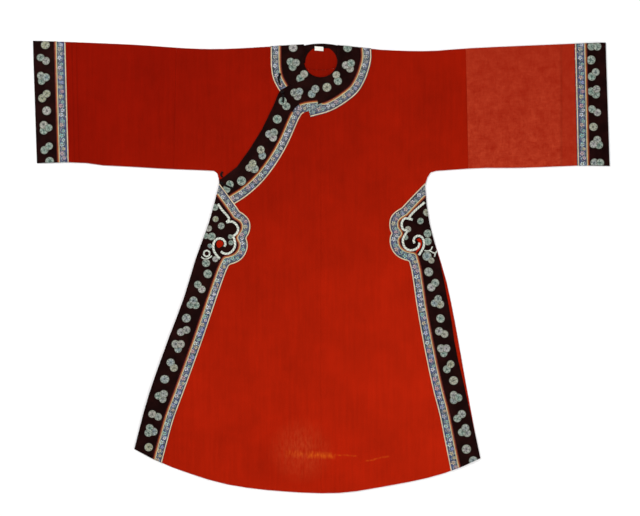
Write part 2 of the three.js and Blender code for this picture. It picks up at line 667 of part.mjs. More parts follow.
for (const side of ['left', 'right']) {
  const layer = side === 'left' ? LAYER.outer : LAYER.under;
  const silk = side === 'left' ? 'faded' : 'silk';
  const half = GAP / 2;
  const outer = (v) => CUFF_RIBBON_RAISE * clamp(-v / FOLD, 0, 1);
  lay(`sleeve_${side}`, sleeveCutter(side, 'sleeve', 'ribbon', half, -half), silk, { layer });
  lay(`cuff_ribbon_${side}`, sleeveCutter(side, 'ribbon', 'cuff', half, -half), 'ribbon', { layer, outer });
  lay(`cuff_${side}`, sleeveCutter(side, 'cuff', 'end', half, 0), 'satin', { layer });
}

// Flap and neck
const OVER_RIGHT = { layer: LAYER.under, ...OVER };
const flapStrips = (extra = 0) => neckRibbon(extra).add(flapRibbon(extra));
const flapFront = wholeFront.subtract(sideRibbon.front.right(GAP));
const rightOfFlap = bodyRight.intersect(frontOnly).subtract(flapShadow);
lay('flap_border', flapArea.intersect(flapFront).subtract(flapStrips(GAP)), 'satin', OVER);
lay('flap_ribbon', flapStrips().intersect(flapFront), 'ribbon', OVER);
const neckRight = neckRightArea.intersect(rightOfFlap).subtract(neckRightRibbon(GAP));
lay('neck_border_right', neckRight, 'satin', OVER_RIGHT);
lay('neck_ribbon_right', neckRightRibbon().intersect(rightOfFlap), 'ribbon', OVER_RIGHT);
lay('neck_border_back', borderBand().intersect(belowNeckline), 'satin');
lay('neck_ribbon_back', ribbonBand().subtract(borderBand(GAP)).intersect(belowNeckline), 'ribbon');
const binding = rectangle(-BINDING.half, BINDING.edge, BINDING.half, BINDING.edge + BINDING.depth);
lay('neck_binding', binding, 'satin', INSIDE_BACK);
lay('label', prism(onBack(LABEL.map(spot))), 'label', INSIDE_BACK_AGAIN);

// Side slits, front and back
for (const side of ['right', 'left']) {
  const [overFront, inBack] = [sideRibbon.front[side], sideRibbon.back[side]];
  const borderFront = sideArea(side, onFront).intersect(wholeFront).subtract(overFront(GAP));
  const borderBack = sideArea(side, onBack).intersect(wholeBack).subtract(inBack(GAP));
  lay(`side_border_front_${side}`, borderFront, 'satin', OVER);
  lay(`side_ribbon_front_${side}`, overFront().intersect(wholeFront), 'ribbon', OVER);
  lay(`side_border_back_${side}`, borderBack, 'satin');
  lay(`side_ribbon_back_${side}`, inBack().intersect(wholeBack), 'ribbon');
}

// White braid on the cloud heads
const braids = {
  cloud_braid_right: BRAID_RIGHT,
  cloud_braid_left: BRAID_LEFT,
  cloud_scroll_right: [SCROLL_RIGHT],
  cloud_scroll_left: [SCROLL_LEFT],
};
for (const [name, stretches] of Object.entries(braids)) {
  const braid = stretches.map((rows) => strip(onFront(smooth(rows)), HALF_BRAID, CORD.sides));
  lay(name, braid.reduce((whole, next) => whole.add(next)).intersect(wholeFront), 'braid', BRAIDED);
}

// Cord fasteners lie on the borders: the loop on the right front, the knot and its stem on the flap
const highest = (layer, rows, out) =>
  Math.max(...rows.map(spot).map(front).map((p) => place(layer, p.x, p.y, out).z));

function cord(rows, z) {
  const extrudePath = new THREE.CatmullRomCurve3(rows.map(({ x, y }) => new THREE.Vector3(x, y, z)));
  const section = new THREE.Shape(roundOutline(CORD.radius, CORD.sides));
  return new THREE.ExtrudeGeometry(section, { steps: CORD.steps, extrudePath, bevelEnabled: false });
}

for (const [name, frog] of Object.entries(FROGS)) {
  const loopBed = highest(LAYER.under, frog.loop, frog.bed) + GAP;
  const stemBed = highest(LAYER.outer, [...frog.stem, frog.knot], GAP + TRIM) + GAP;
  const ball = new THREE.SphereGeometry(KNOT.radius, KNOT.around, KNOT.down);
  ball.translate(frog.knot.x, frog.knot.y, stemBed + KNOT.radius);
  addMesh(`frog_${name}_loop`, cord(frog.loop, loopBed + CORD.radius), 'cord');
  addMesh(`frog_${name}_stem`, cord(frog.stem, stemBed + CORD.radius), 'cord');
  addMesh(`frog_${name}_knot`, ball, 'cord');
}

// The origin is below the middle of the robe's box
const box = new THREE.Box3().setFromObject(robe);
robe.position.set(-(box.min.x + box.max.x) / 2, -(box.min.y + box.max.y) / 2, 0);

export default robe;
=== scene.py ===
# A full-length red silk robe laid flat: its cloth, borders, ribbons, braid, medallions and fasteners.
# Each piece of cloth is drawn from the outside of its node in the frame, cut into small faces, eased
# and creased, and given its wall. Places are in the frame: metres, +X to the wearer's left, +Y to the
# shoulders, z = 0 the surface below. Tables are in millimetres.

import math
import random

import bmesh
import bpy
import numpy as np
from bpy.props import FloatProperty, FloatVectorProperty, IntProperty, PointerProperty
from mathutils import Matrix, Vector, geometry, kdtree, noise
from mathutils.bvhtree import BVHTree


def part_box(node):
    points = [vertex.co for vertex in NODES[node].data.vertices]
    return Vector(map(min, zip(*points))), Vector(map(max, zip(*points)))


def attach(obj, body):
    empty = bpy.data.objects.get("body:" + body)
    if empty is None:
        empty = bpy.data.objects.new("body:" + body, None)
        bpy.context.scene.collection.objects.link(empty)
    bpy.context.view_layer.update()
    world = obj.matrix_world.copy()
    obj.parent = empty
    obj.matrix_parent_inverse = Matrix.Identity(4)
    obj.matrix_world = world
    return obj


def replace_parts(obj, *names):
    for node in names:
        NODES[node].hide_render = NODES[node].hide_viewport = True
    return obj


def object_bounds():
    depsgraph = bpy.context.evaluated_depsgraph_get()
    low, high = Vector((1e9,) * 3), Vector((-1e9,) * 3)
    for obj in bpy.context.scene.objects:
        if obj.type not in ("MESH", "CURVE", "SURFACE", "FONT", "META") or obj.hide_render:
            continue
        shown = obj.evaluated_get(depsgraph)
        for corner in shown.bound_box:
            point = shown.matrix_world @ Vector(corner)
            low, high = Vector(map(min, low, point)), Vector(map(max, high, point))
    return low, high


bl_info = {
    "name": "Silk Robe",
    "version": (1, 0, 0),
    "blender": (4, 5, 0),
    "location": "3D Viewport > Sidebar > Robe",
    "description": "Dresses the robe's panels, borders, ribbons, medallions and fasteners",
    "category": "Object",
}

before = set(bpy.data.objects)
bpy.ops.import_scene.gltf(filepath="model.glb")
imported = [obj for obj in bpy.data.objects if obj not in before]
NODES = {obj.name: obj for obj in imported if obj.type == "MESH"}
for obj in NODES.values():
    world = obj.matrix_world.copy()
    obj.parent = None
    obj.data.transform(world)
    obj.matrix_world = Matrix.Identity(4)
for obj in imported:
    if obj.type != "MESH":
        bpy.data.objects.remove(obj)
CAD_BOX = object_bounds()
MM = 0.001
BODY = "root"
PLACE = ("x", "y")
DOWN = Vector((0, 0, -1))
ABOVE = 0.05  # metres; higher than any of the robe
FRONT_TOP = 0.0019  # metres; a front's outside is above this
BACK_UNDER = 0.0007  # metres; a back's outside is below this
BACK_TOP = 0.0013  # metres; the back's cloth ends here


def hex_colour(text):
    """The linear colour of an sRGB hex value."""
    values = [int(text[i:i + 2], 16) / 255 for i in (1, 3, 5)]
    return [v / 12.92 if v <= 0.04045 else ((v + 0.055) / 1.055) ** 2.4 for v in values]


def table(columns, rows):
    """Rows of named values. A short row leaves the last columns out."""
    return [dict(zip(columns, row)) for row in rows]


def lines(*stretches):
    """Tables of places, one for each stretch of a line between corners."""
    return [table(PLACE, rows) for rows in stretches]


# Cloth pieces: the finish, and the front layer that each lies on. The right front is the layer below.
PANELS = table(("node", "finish", "layer", "rests_on"), [
    ("body_left", "silk", "outer", "floor"),
    ("body_right", "silk", "under", "floor"),
    ("overlap_front", "silk", "outer", "silk_body_right"),
    ("sleeve_right", "silk", "under", "floor"),
    ("sleeve_left", "faded", "outer", "floor"),
])
BORDERS = table(("node", "finish", "layer", "rests_on"), [
    ("cuff_right", "satin", "under", "floor"),
    ("cuff_left", "satin", "outer", "floor"),
    ("flap_border", "satin", "outer", "silk_overlap_front"),
    ("neck_border_right", "satin", "under", "silk_body_right"),
    ("neck_border_back", "satin", "outer", "floor"),
    ("side_border_front_right", "satin", "outer", "silk_overlap_front"),
    ("side_border_front_left", "satin", "outer", "silk_body_left"),
    ("side_border_back_right", "satin", "outer", "floor"),
    ("side_border_back_left", "satin", "outer", "floor"),
])

# Centre lines of the ribbons
NECK_LINE = lines(
    [
        (136, 676), (136, 668), (137, 637), (130, 605), (119, 575), (101, 544), (78, 523), (25, 490),
        (-37, 472),
    ],
    [
        (-10, 492), (-47, 487), (-67, 479), (-79, 462), (-116, 380), (-150, 322), (-190, 270),
        (-235, 229), (-275, 203),
    ],
)
NECK_RIGHT_LINE = lines([
    (-139, 676), (-139, 668), (-139, 637), (-138, 607), (-132, 576), (-109, 534), (-100, 518),
])
SIDE_RIGHT_LINE = lines(
    [(-337, 264), (-311, 232), (-277, 186), (-258, 158)],
    [(-258, 158), (-244, 150), (-233, 138), (-230, 125), (-233, 108), (-246, 89)],
    [(-246, 89), (-240, 78), (-238, 64), (-244, 45), (-256, 31), (-273, 23), (-290, 19)],
    [(-290, 19), (-303, -9), (-377, -223), (-433, -378), (-462, -456), (-484, -534), (-508, -626)],
)
SIDE_LEFT_LINE = lines(
    [(344, 262), (315, 233), (285, 202), (253, 168)],
    [(253, 168), (236, 158), (225, 146), (222, 132), (224, 116), (234, 102)],
    [(234, 102), (225, 92), (223, 78), (227, 61), (238, 46), (256, 36), (279, 31)],
    [(279, 31), (289, -9), (305, -116), (327, -238), (355, -371), (374, -444), (389, -519), (417, -656)],
)
CUFF_RIGHT_LINE = lines([(-797, 700), (-786, 300)])
CUFF_LEFT_LINE = lines([(790, 700), (799, 300)])
# Half an ellipse round the back of the neck
NECK_BACK = {"x": -2, "y": 673, "half_width": 137.5, "depth": 87}
NECK_BACK_LINE = lines([
    (
        NECK_BACK["x"] - NECK_BACK["half_width"] * math.cos(math.radians(turn)),
        NECK_BACK["y"] - NECK_BACK["depth"] * math.sin(math.radians(turn)),
    )
    for turn in range(-4, 185, 8)
])

# Ribbons, with the side of the line, walking along it, on which the black border lies
RIBBONS = table(("node", "layer", "line", "half", "border", "rests_on"), [
    ("flap_ribbon", "outer", NECK_LINE, 15, -1, "silk_overlap_front"),
    ("neck_ribbon_right", "under", NECK_RIGHT_LINE, 15, 1, "silk_body_right"),
    ("neck_ribbon_back", "outer", NECK_BACK_LINE, 15, 1, "floor"),
    ("side_ribbon_front_right", "outer", SIDE_RIGHT_LINE, 14, -1, "silk_overlap_front"),
    ("side_ribbon_back_right", "outer", SIDE_RIGHT_LINE, 14, -1, "floor"),
    ("side_ribbon_front_left", "outer", SIDE_LEFT_LINE, 15, 1, "silk_body_left"),
    ("side_ribbon_back_left", "outer", SIDE_LEFT_LINE, 15, 1, "floor"),
    ("cuff_ribbon_right", "under", CUFF_RIGHT_LINE, 16.5, -1, "floor"),
    ("cuff_ribbon_left", "outer", CUFF_LEFT_LINE, 17, 1, "floor"),
])
# Piping by the side of the line, + the border's: how far from the ribbon's edge, and how wide
PIPING = table(("finish", "side", "shift", "half"), [
    ("cream", -1, -1.75, 1.75), ("straw", 1, -5.0, 1.6), ("rust", 1, -1.9, 1.6),
    ("crimson", 1, 1.3, 1.4),
])

# White braid and scrolls on the cloud heads
BRAID_RIGHT = lines(
    [(-315, 192), (-300, 171), (-288, 158), (-281, 146), (-289, 136)],
    [(-289, 136), (-271, 138), (-259, 129), (-253, 115), (-259, 101), (-269, 94)],
    [(-269, 94), (-264, 80), (-263, 64), (-270, 50), (-283, 41), (-296, 41), (-306, 47)],
)
SCROLL_RIGHT = lines([
    (-309, 25), (-319, 36), (-327, 49), (-329, 64), (-326, 77), (-318, 85), (-307, 87), (-297, 82),
    (-292, 71), (-295, 62),
])
BRAID_LEFT = lines(
    [(315, 197), (296, 181), (276, 162), (268, 150), (278, 144)],
    [(278, 144), (255, 148), (246, 138), (245, 125), (251, 113), (263, 113)],
    [(263, 113), (257, 101), (249, 86), (249, 72), (255, 59), (268, 51), (284, 53), (296, 62), (299, 74)],
)
SCROLL_LEFT = lines([
    (284, 72), (281, 82), (286, 91), (296, 95), (307, 90), (313, 76), (311, 60), (303, 45), (297, 36),
])
BRAIDS = {
    "cloud_braid_right": BRAID_RIGHT,
    "cloud_braid_left": BRAID_LEFT,
    "cloud_scroll_right": SCROLL_RIGHT,
    "cloud_scroll_left": SCROLL_LEFT,
}
# The small ring beside the right scroll
RING_RIGHT = {"x": -349, "y": 41, "radius": 9}
# Short white strands embroidered beside the scrolls
STRANDS = lines(
    [(-366, 31), (-355, 24), (-343, 27), (-333, 34)],
    [(339, 63), (333, 52), (324, 49), (314, 50)],
    [(328, 51), (338, 45), (348, 41)],
    [(345, 31), (347, 40), (352, 49)],
)
# Red silk laid in the cloud scrolls, each patch by its outline
RED_PATCHES = {
    "cloud_patch_right": table(PLACE, [
        (-320, 70), (-317, 79), (-309, 82), (-300, 77), (-298, 69), (-304, 62), (-312, 58), (-318, 62),
    ]),
    "cloud_patch_left": table(PLACE, [
        (290, 84), (299, 88), (305, 82), (307, 72), (304, 60), (297, 50), (289, 41), (285, 40), (292, 55),
        (297, 66), (296, 77),
    ]),
}

# Embroidered medallions by the middle of each group, how many overlap in it, and where the first lies
# about that middle (degrees from +X, turning towards the shoulders). A size or tint is given where it
# isn't the usual one.
GROUP = ("x", "y", "count", "first", "size", "tint")
MEDALLIONS_SIDE_RIGHT = table(GROUP, [
    (-346, -21, 1, 0), (-370, -61, 2, 130), (-390, -111, 3, 85), (-411, -156, 1, 0), (-419, -195, 2, 22),
    (-436, -240, 3, 30), (-454, -299, 2, 121), (-477, -342, 1, 0), (-486, -394, 3, 50),
    (-506, -452, 2, 155), (-520, -499, 3, 105), (-351, 12, 1, 0, 0.95), (-323, 24, 1, 0, 0.7),
    (-339, 64, 1, 0, 0.6), (-334, 93, 1, 0, 1.0), (-352, 95, 1, 0, 0.8), (-343, 117, 1, 0, 0.8),
    (-305, 125, 1, 0, 0.85), (-322, 146, 1, 0, 0.75), (-325, 182, 1, 0, 0.9), (-277, 92, 1, 0, 0.6),
    (-275, 74, 1, 0, 0.6), (-526, -549, 1, 0, 1.06, 1.0),
])
MEDALLIONS_SIDE_LEFT = table(GROUP, [
    (327, -15, 1, 0), (341, -55, 2, 48), (354, -107, 3, 80), (363, -157, 1, 0), (367, -200, 2, 153),
    (373, -253, 3, 30), (388, -304, 2, 53), (403, -346, 1, 0), (408, -398, 3, 0), (421, -455, 2, 45),
    (437, -500, 3, 80), (442, -555, 1, 0), (463, -590, 1, 0), (335, 20, 1, 0, 0.75), (324, 78, 1, 0, 0.9),
    (324, 102, 1, 0, 0.9), (302, 140, 1, 0, 0.8), (264, 115, 1, 0, 0.75), (257, 90, 1, 0, 0.6),
    (322, 166, 1, 0, 0.9), (322, 33, 1, 0, 1.1, 0.66),
])
MEDALLIONS_FLAP = table(GROUP, [
    (80, 668, 1, 0), (84, 613, 3, 50), (48, 576, 2, 105), (17, 547, 1, 0), (-24, 534, 2, 55),
    (-74, 528, 3, 40), (-112, 497, 2, 125), (-134, 450, 1, 0), (-150, 403, 3, 50), (-182, 348, 2, 105),
    (-211, 305, 3, 80), (-243, 262, 1, 0), (-284, 244, 2, 55),
])
MEDALLIONS_NECK_RIGHT = table(GROUP, [
    (-86, 668, 1, 0), (-86, 619, 3, 20), (-58, 581, 2, 50),
])
MEDALLIONS_NECK_BACK = table(GROUP, [
    (-70, 646, 2, 160), (-24, 620, 1, 0), (30, 622, 1, 0), (76, 646, 3, 30),
])
MEDALLIONS_CUFF_RIGHT = table(GROUP, [
    (-841, 677, 1, 0), (-847, 633, 2, 148), (-849, 576, 3, 10), (-844, 521, 2, 45), (-837, 476, 1, 0),
    (-841, 424, 3, 0), (-837, 362, 2, 40), (-828, 322, 1, 0),
])
MEDALLIONS_CUFF_LEFT = table(GROUP, [
    (832, 672, 2, 0), (822, 631, 1, 0), (830, 587, 2, 49), (833, 534, 3, 55), (833, 476, 2, 148),
    (829, 427, 1, 0), (839, 378, 3, 80), (841, 318, 2, 0),
])
MEDALLION_SETS = table(("name", "rows", "border", "layer", "back"), [
    ("medallions_side_front_right", MEDALLIONS_SIDE_RIGHT, "side_border_front_right", "outer", False),
    ("medallions_side_front_left", MEDALLIONS_SIDE_LEFT, "side_border_front_left", "outer", False),
    ("medallions_side_back_right", MEDALLIONS_SIDE_RIGHT, "side_border_back_right", "outer", True),
    ("medallions_side_back_left", MEDALLIONS_SIDE_LEFT, "side_border_back_left", "outer", True),
    ("medallions_flap", MEDALLIONS_FLAP, "flap_border", "outer", False),
    ("medallions_neck_right", MEDALLIONS_NECK_RIGHT, "neck_border_right", "under", False),
    ("medallions_neck_back", MEDALLIONS_NECK_BACK, "neck_border_back", "outer", True),
    ("medallions_cuff_front_right", MEDALLIONS_CUFF_RIGHT, "cuff_right", "under", False),
    ("medallions_cuff_front_left", MEDALLIONS_CUFF_LEFT, "cuff_left", "outer", False),
    ("medallions_cuff_back_right", MEDALLIONS_CUFF_RIGHT, "cuff_right", "under", True),
    ("medallions_cuff_back_left", MEDALLIONS_CUFF_LEFT, "cuff_left", "outer", True),
])
RINGS = ((0.30, 0.75), (0.62, 0.95), (0.86, 1.0), (1.0, 0.55))  # share of the radius, of the relief

# Crests of the creases: middle, length, and lean from the robe's length (degrees, + to the left
# going down)
CREASES = table(("x", "y", "length", "lean"), [
    (-703, 399, 131, 31), (-574, 448, 122, 35), (-455, 345, 75, 43), (-507, 503, 177, 4),
    (-376, 436, 120, 6), (-306, 430, 220, 1), (-214, 479, 98, 7), (-699, 552, 80, 18), (225, 473, 74, 35),
    (331, 418, 70, 8), (-300, -192, 90, -4), (-248, -250, 70, -3), (-388, -516, 215, 4),
    (-428, -528, 105, 4), (-317, -537, 165, 1), (286, -509, 95, 3), (353, -561, 120, 6),
    (-73, -494, 80, -7),
])

# Cord fasteners: each has a loop, a knot and the stem that the knot is sewn on by
FASTENERS = {
    "neck": {
        "loop": table(PLACE, [(-125, 590), (-130, 574), (-126, 557)]),
        "stem": table(PLACE, [(-117, 525), (-116, 514), (-116, 502)]),
    },
    "armpit": {
        "loop": table(PLACE, [(-300, 290), (-306, 283), (-303, 276)]),
        "stem": table(PLACE, [(-295, 250), (-284, 245), (-272, 240)]),
    },
}

# Strokes of the stain above the hem, with how wide each is and how strong, and the rubbed place beside it
STAIN = table(("x0", "y0", "x1", "y1", "half", "strength"), [
    (-48, -571, 46, -577, 13.0, 0.75), (38, -573, 112, -575, 3.5, 0.40),
    (130, -592, 212, -576, 3.5, 0.36), (-112, -566, -50, -570, 14.0, 0.30),
])
RUBBED = (-0.062, -0.560, 0.006)  # metres
CENTRE_SEAM = -0.001  # metres from the frame's middle
SEAM_REACH = 0.0006  # metres; the halves' edges lie within this of the centre seam
SEAM_GAP = 0.00003  # metres from the seam to each half's edge as sewn
FADED_STRIP = 731  # where the left sleeve's mottled cloth ends and a smoother strip begins
FACING_LINES = (-760.5, -746.7)  # the two thin lines by the right cuff, where y is 675
# The facing inside the neck hole: its round edge, and how far its square corners reach
FACING = {"x": -0.1, "y": 623.6, "radius": 48.8, "half_width": 52.6, "height": 51.6}
DAMASK_REPEAT = 0.15  # metres between the woven medallions
RIBBON_REPEAT = 0.029  # metres along the ribbon
# The ribbon's flowers: share of a repeat, metres aside of the middle, radius in metres, and petals
FLOWERS = table(("at", "side", "radius", "petals"), [
    (0.25, -0.0030, 0.0076, 5), (0.75, 0.0030, 0.0062, 6),
])
INDIGO = "#1f2438"
# The picture: pixels wide, millimetres to a pixel, and the place in its middle
PHOTO = {"width": 640, "scale": 3.05, "middle": (-4.05, 27.35)}
# Soft lights, in metres and watts
LIGHTS = table(("name", "x", "y", "z", "size", "power"), [
    ("key", -2.6, 2.4, 3.4, 1.6, 122.0),
    ("fill", 2.8, -2.2, 3.4, 2.6, 92.0),
    ("overhead", 0.0, 0.0, 4.2, 3.0, 45.0),
])


def lengths(rows):
    """Settings in metres, each by its name, what it is called, what it means and its usual value."""
    return {
        key: FloatProperty(name=called, description=means, default=usual, unit="LENGTH")
        for key, called, means, usual in rows
    }


class RobeCloth(bpy.types.PropertyGroup):
    """Sizes of the cloth."""

    __annotations__ = lengths([
        ("step", "Panel face", "Size of a panel's small faces", 0.0075),
        ("trim_step", "Trim face", "Size of a border's or ribbon's faces", 0.0045),
        ("wall", "Wall", "Thickness of silk with its backing", 0.0012),
        ("trim_wall", "Trim wall", "Thickness of a border or ribbon", 0.001),
        ("edge", "Edge", "Roundness of a turned edge", 0.0004),
        ("ease", "Ease", "How far the bends of the panels are eased", 0.014),
        ("ripple", "Ripple", "Height of the long soft ripples", 0.0007),
        ("crumple", "Crumple", "Height of the small uneven places", 0.00022),
        ("crest", "Crest", "Height of a crease's sharp crest", 0.0011),
        ("crest_width", "Crest width", "Half width of that crest", 0.006),
    ])


class RobeTrim(bpy.types.PropertyGroup):
    """Sizes of what is sewn on the borders."""

    __annotations__ = {
        "piping": FloatProperty(
            name="Piping", description="Width of the piping, as a share of its usual width", default=1.0
        ),
        **lengths([
            ("braid", "Braid", "Half width of the white braid", 0.0035),
            ("medallion", "Medallion", "Radius of an embroidered medallion", 0.0135),
            ("relief", "Relief", "Height of a medallion's stitches", 0.0009),
            ("spread", "Spread", "From a group's middle to its medallions", 0.0094),
            ("cord", "Cord", "Radius of a fastener's cord", 0.0016),
            ("knot", "Knot", "Radius of a fastener's knot", 0.0052),
        ]),
        "seed": IntProperty(name="Seed", description="Turns and tints of the medallions", default=7),
    }


class RobeColours(bpy.types.PropertyGroup):
    """Colours of the cloths and threads."""

    __annotations__ = {
        key: FloatVectorProperty(
            name=called, description=means, subtype="COLOR", default=hex_colour(usual)
        )
        for key, called, means, usual in (
            ("silk", "Silk", "Red of the shoulders", "#7d0c02"),
            ("silk_low", "Skirt", "Brighter red of the skirt", "#a51c06"),
            ("faded", "Faded", "Left sleeve's faded red", "#921e0c"),
            ("worn", "Worn", "Palest places of it", "#ab371f"),
            ("satin", "Satin", "Borders", "#0e0303"),
            ("cream", "Cream", "Piping by the ribbons", "#e4cfac"),
            ("rust", "Rust", "Piping on the border", "#bd6325"),
            ("ribbon", "Ribbon", "Ground of the ribbons", "#424e74"),
            ("braid", "Braid", "White braid", "#d3d8cc"),
            ("label", "Label", "Bare label", "#f0eee8"),
            ("cord", "Cord", "Fasteners", "#0c0606"),
        )
    }


SETTINGS = {"robe_cloth": RobeCloth, "robe_trim": RobeTrim, "robe_colours": RobeColours}


# Materials


class Finish:
    """A material in the making, with short ways to add the shader nodes of a cloth."""

    def __init__(self, name):
        self.made = bpy.data.materials.new(name)
        self.made.use_nodes = True
        self.tree = self.made.node_tree
        self.shader = next(n for n in self.tree.nodes if n.type == "BSDF_PRINCIPLED")
        self.place = self.add("TexCoord").outputs["Object"]

    def add(self, kind, inputs=None, **settings):
        """Adds a node with its settings, and joins each input to a node or socket or gives it a value."""
        made = self.tree.nodes.new("ShaderNode" + kind)
        for name, value in settings.items():
            setattr(made, name, value)
        for name, value in (inputs or {}).items():
            if isinstance(name, int):
                socket = made.inputs[name]
            else:
                socket = next(s for s in made.inputs if s.enabled and s.name == name)
            if isinstance(value, bpy.types.Node):
                value = next(s for s in value.outputs if s.enabled)
            if isinstance(value, str):
                value = hex_colour(value)
            if isinstance(value, bpy.types.NodeSocket):
                self.tree.links.new(value, socket)
            elif socket.type == "RGBA":
                socket.default_value = (*value, 1)
            else:
                socket.default_value = value
        return made

    def math(self, operation, *values):
        """A sum with up to three values."""
        return self.add("Math", dict(enumerate(values)), operation=operation)

    def plus(self, a, b):
        return self.math("ADD", a, b)

    def minus(self, a, b):
        return self.math("SUBTRACT", a, b)

    def times(self, a, b):
        return self.math("MULTIPLY", a, b)

    def scaled(self, value, by, plus):
        return self.math("MULTIPLY_ADD", value, by, plus)

    def away(self, a, b):
        """How far apart two values are."""
        return self.math("ABSOLUTE", self.minus(a, b))

    def vector(self, operation, *values):
        """A sum with vectors."""
        return self.add("VectorMath", dict(enumerate(values)), operation=operation).outputs["Vector"]

    def share(self, value, low, high, first=0.0, last=1.0, **settings):
        """A value from first to last as another goes from low to high, and no further."""
        ends = {"From Min": low, "From Max": high, "To Min": first, "To Max": last}
        return self.add("MapRange", {"Value": value, **ends}, **settings)

    def noise(self, place, scale, detail=2.0, roughness=0.5, distortion=0.0):
        return self.add("TexNoise", {
            "Vector": place, "Scale": scale, "Detail": detail, "Roughness": roughness,
            "Distortion": distortion,
        })

    def threads(self, place, scales, detail=2.0, roughness=0.5):
        """Noise drawn out along the threads: how fine it is each way."""
        return self.noise(self.add("Mapping", {"Vector": place, "Scale": scales}), 1.0, detail, roughness)

    def mix(self, share, first, second):
        return self.add("Mix", {"Factor": share, "A": first, "B": second}, data_type="RGBA")

    def ramp(self, value, stops):
        """Colours along a value, from rows of a position and a colour."""
        made = self.add("ValToRGB", {"Fac": value})
        elements = made.color_ramp.elements
        while len(elements) < len(stops):
            elements.new(0.5)
        for element, (position, colour) in zip(elements, stops):
            element.position = position
            element.color = (*(hex_colour(colour) if isinstance(colour, str) else colour), 1)
        return made

    def split(self, place):
        return self.add("SeparateXYZ", {"Vector": place}).outputs

    def shaded(self, colour, value, saturation=1.0):
        """A colour made lighter or darker, or paler."""
        return self.add("HueSaturation", {"Color": colour, "Saturation": saturation, "Value": value})

    def weave(self, thread):
        """The relief of a plain weave: warp and weft ribs crossing, threads so many metres apart."""
        x, y, _ = self.split(self.place)
        ribs = [self.math("SINE", self.times(way, math.pi / thread)) for way in (x, y)]
        return self.times(*ribs)

    def finish(self, colour, height, depth, roughness, gloss, sheen, tint=(1.0, 1.0, 1.0)):
        """Joins the colour and relief to the shader, with the sheen of the cloth's loose fibres."""
        inputs = self.shader.inputs
        self.tree.links.new(next(s for s in colour.outputs if s.enabled), inputs["Base Color"])
        bump = self.add("Bump", {"Height": height, "Strength": 1.0, "Distance": depth})
        self.tree.links.new(bump.outputs["Normal"], inputs["Normal"])
        inputs["Roughness"].default_value = roughness
        inputs["Specular IOR Level"].default_value = gloss
        inputs["Specular Tint"].default_value = (*tint, 1)
        inputs["Sheen Weight"].default_value = sheen
        inputs["Sheen Roughness"].default_value = 0.4
        inputs["Sheen Tint"].default_value = (*tint, 1)
        return self.made


def damask_silk(colours):
    """Damask silk: a fine weave with a faint woven pattern, slow fading and threads of uneven red."""
    cloth = Finish("damask_silk")
    x, y, z = cloth.split(cloth.place)
    # The red is brighter towards the skirt and towards the left side
    down = cloth.share(y, 0.66, -0.45, 0.0, 0.64, interpolation_type="SMOOTHSTEP")
    sideways = cloth.share(x, -0.85, 0.55, -0.12, 0.40)
    bright = cloth.add("Math", {0: down, 1: sideways}, operation="ADD", use_clamp=True)
    red = cloth.mix(bright, colours.silk, colours.silk_low)
    # Slow fading over the width of a hand, and streaks along the warp
    fading = cloth.noise(cloth.place, 7.0, 4.0, 0.55)
    streaks = cloth.threads(cloth.place, (110.0, 6.0, 6.0), 3.0, 0.6)
    slubs = cloth.threads(cloth.place, (900.0, 260.0, 260.0), 2.0, 0.6)
    cells = cloth.vector("MULTIPLY", cloth.place, (1 / DAMASK_REPEAT, 1 / DAMASK_REPEAT, 0.0))
    damask = cloth.add("TexVoronoi", {"Vector": cells, "Scale": 1.0, "Randomness": 0.35})
    rings = cloth.math("SINE", cloth.times(damask.outputs["Distance"], 26.0))
    tones = 0.50
    for pattern, strength in ((fading, 0.50), (streaks, 0.30), (slubs, 0.20), (rings, 0.012)):
        tones = cloth.scaled(pattern, strength, tones)
    # Two thin lines by the right cuff show where the facing inside the sleeve ends
    for at in FACING_LINES:
        line = cloth.scaled(y, -0.024, (at + 16.2) * MM)
        tones = cloth.times(tones, cloth.share(cloth.away(x, line), 0.0005, 0.0030, 0.84, 1.0))
    # Painted shade: cloth lying about 1.4 mm up, such as the inside of the back seen through the neck
    # hole, is darkened for the shade of the fronts over it
    tones = cloth.times(tones, cloth.share(cloth.away(z, 0.0014), 0.0006, 0.0012, 0.82, 1.0))
    stained = stain(cloth, cloth.shaded(red, tones))
    # The weave is drawn at 1.1 mm, about three times as coarse as it is, so that it shows
    height = cloth.scaled(slubs, 0.6, cloth.weave(0.0011))
    return cloth.finish(stained, height, 0.00012, 0.5, 0.08, 0.03, (1.0, 0.12, 0.05))


def stain(cloth, colour):
    """Thin orange strokes of a stain across the skirt just above the hem."""
    x, y, z = cloth.split(cloth.place)
    lifted = cloth.scaled(cloth.noise(cloth.place, 40.0, 4.0), 0.012, y)
    patchy = cloth.share(cloth.threads(cloth.place, (190.0, 60.0, 60.0), 3.0), 0.34, 0.64, 0.15, 1.0)
    patchy = cloth.times(patchy, cloth.share(z, 0.0015, 0.0020))
    # The silk is rubbed pale over the width of a hand beside it
    off = cloth.add("VectorMath", {0: cloth.place, 1: RUBBED}, operation="DISTANCE").outputs["Value"]
    rubbed = cloth.times(cloth.share(off, 0.015, 0.105, 0.5, 0.0), patchy)
    colour = cloth.mix(rubbed, colour, "#b6401f")
    for row in STAIN:
        slope = (row["y1"] - row["y0"]) / (row["x1"] - row["x0"])
        line = cloth.scaled(x, slope, (row["y0"] - slope * row["x0"] + 6) * MM)
        near = cloth.share(cloth.away(lifted, line), 0.0005, row["half"] * MM, row["strength"], 0.0)
        reach = (row["x1"] - row["x0"]) / 2 * MM
        aside = cloth.away(x, (row["x0"] + row["x1"]) / 2 * MM)
        within = cloth.share(aside, reach * 0.75, reach, 1.0, 0.0)
        colour = cloth.mix(cloth.times(cloth.times(near, within), patchy), colour, "#cf5a14")
    return colour


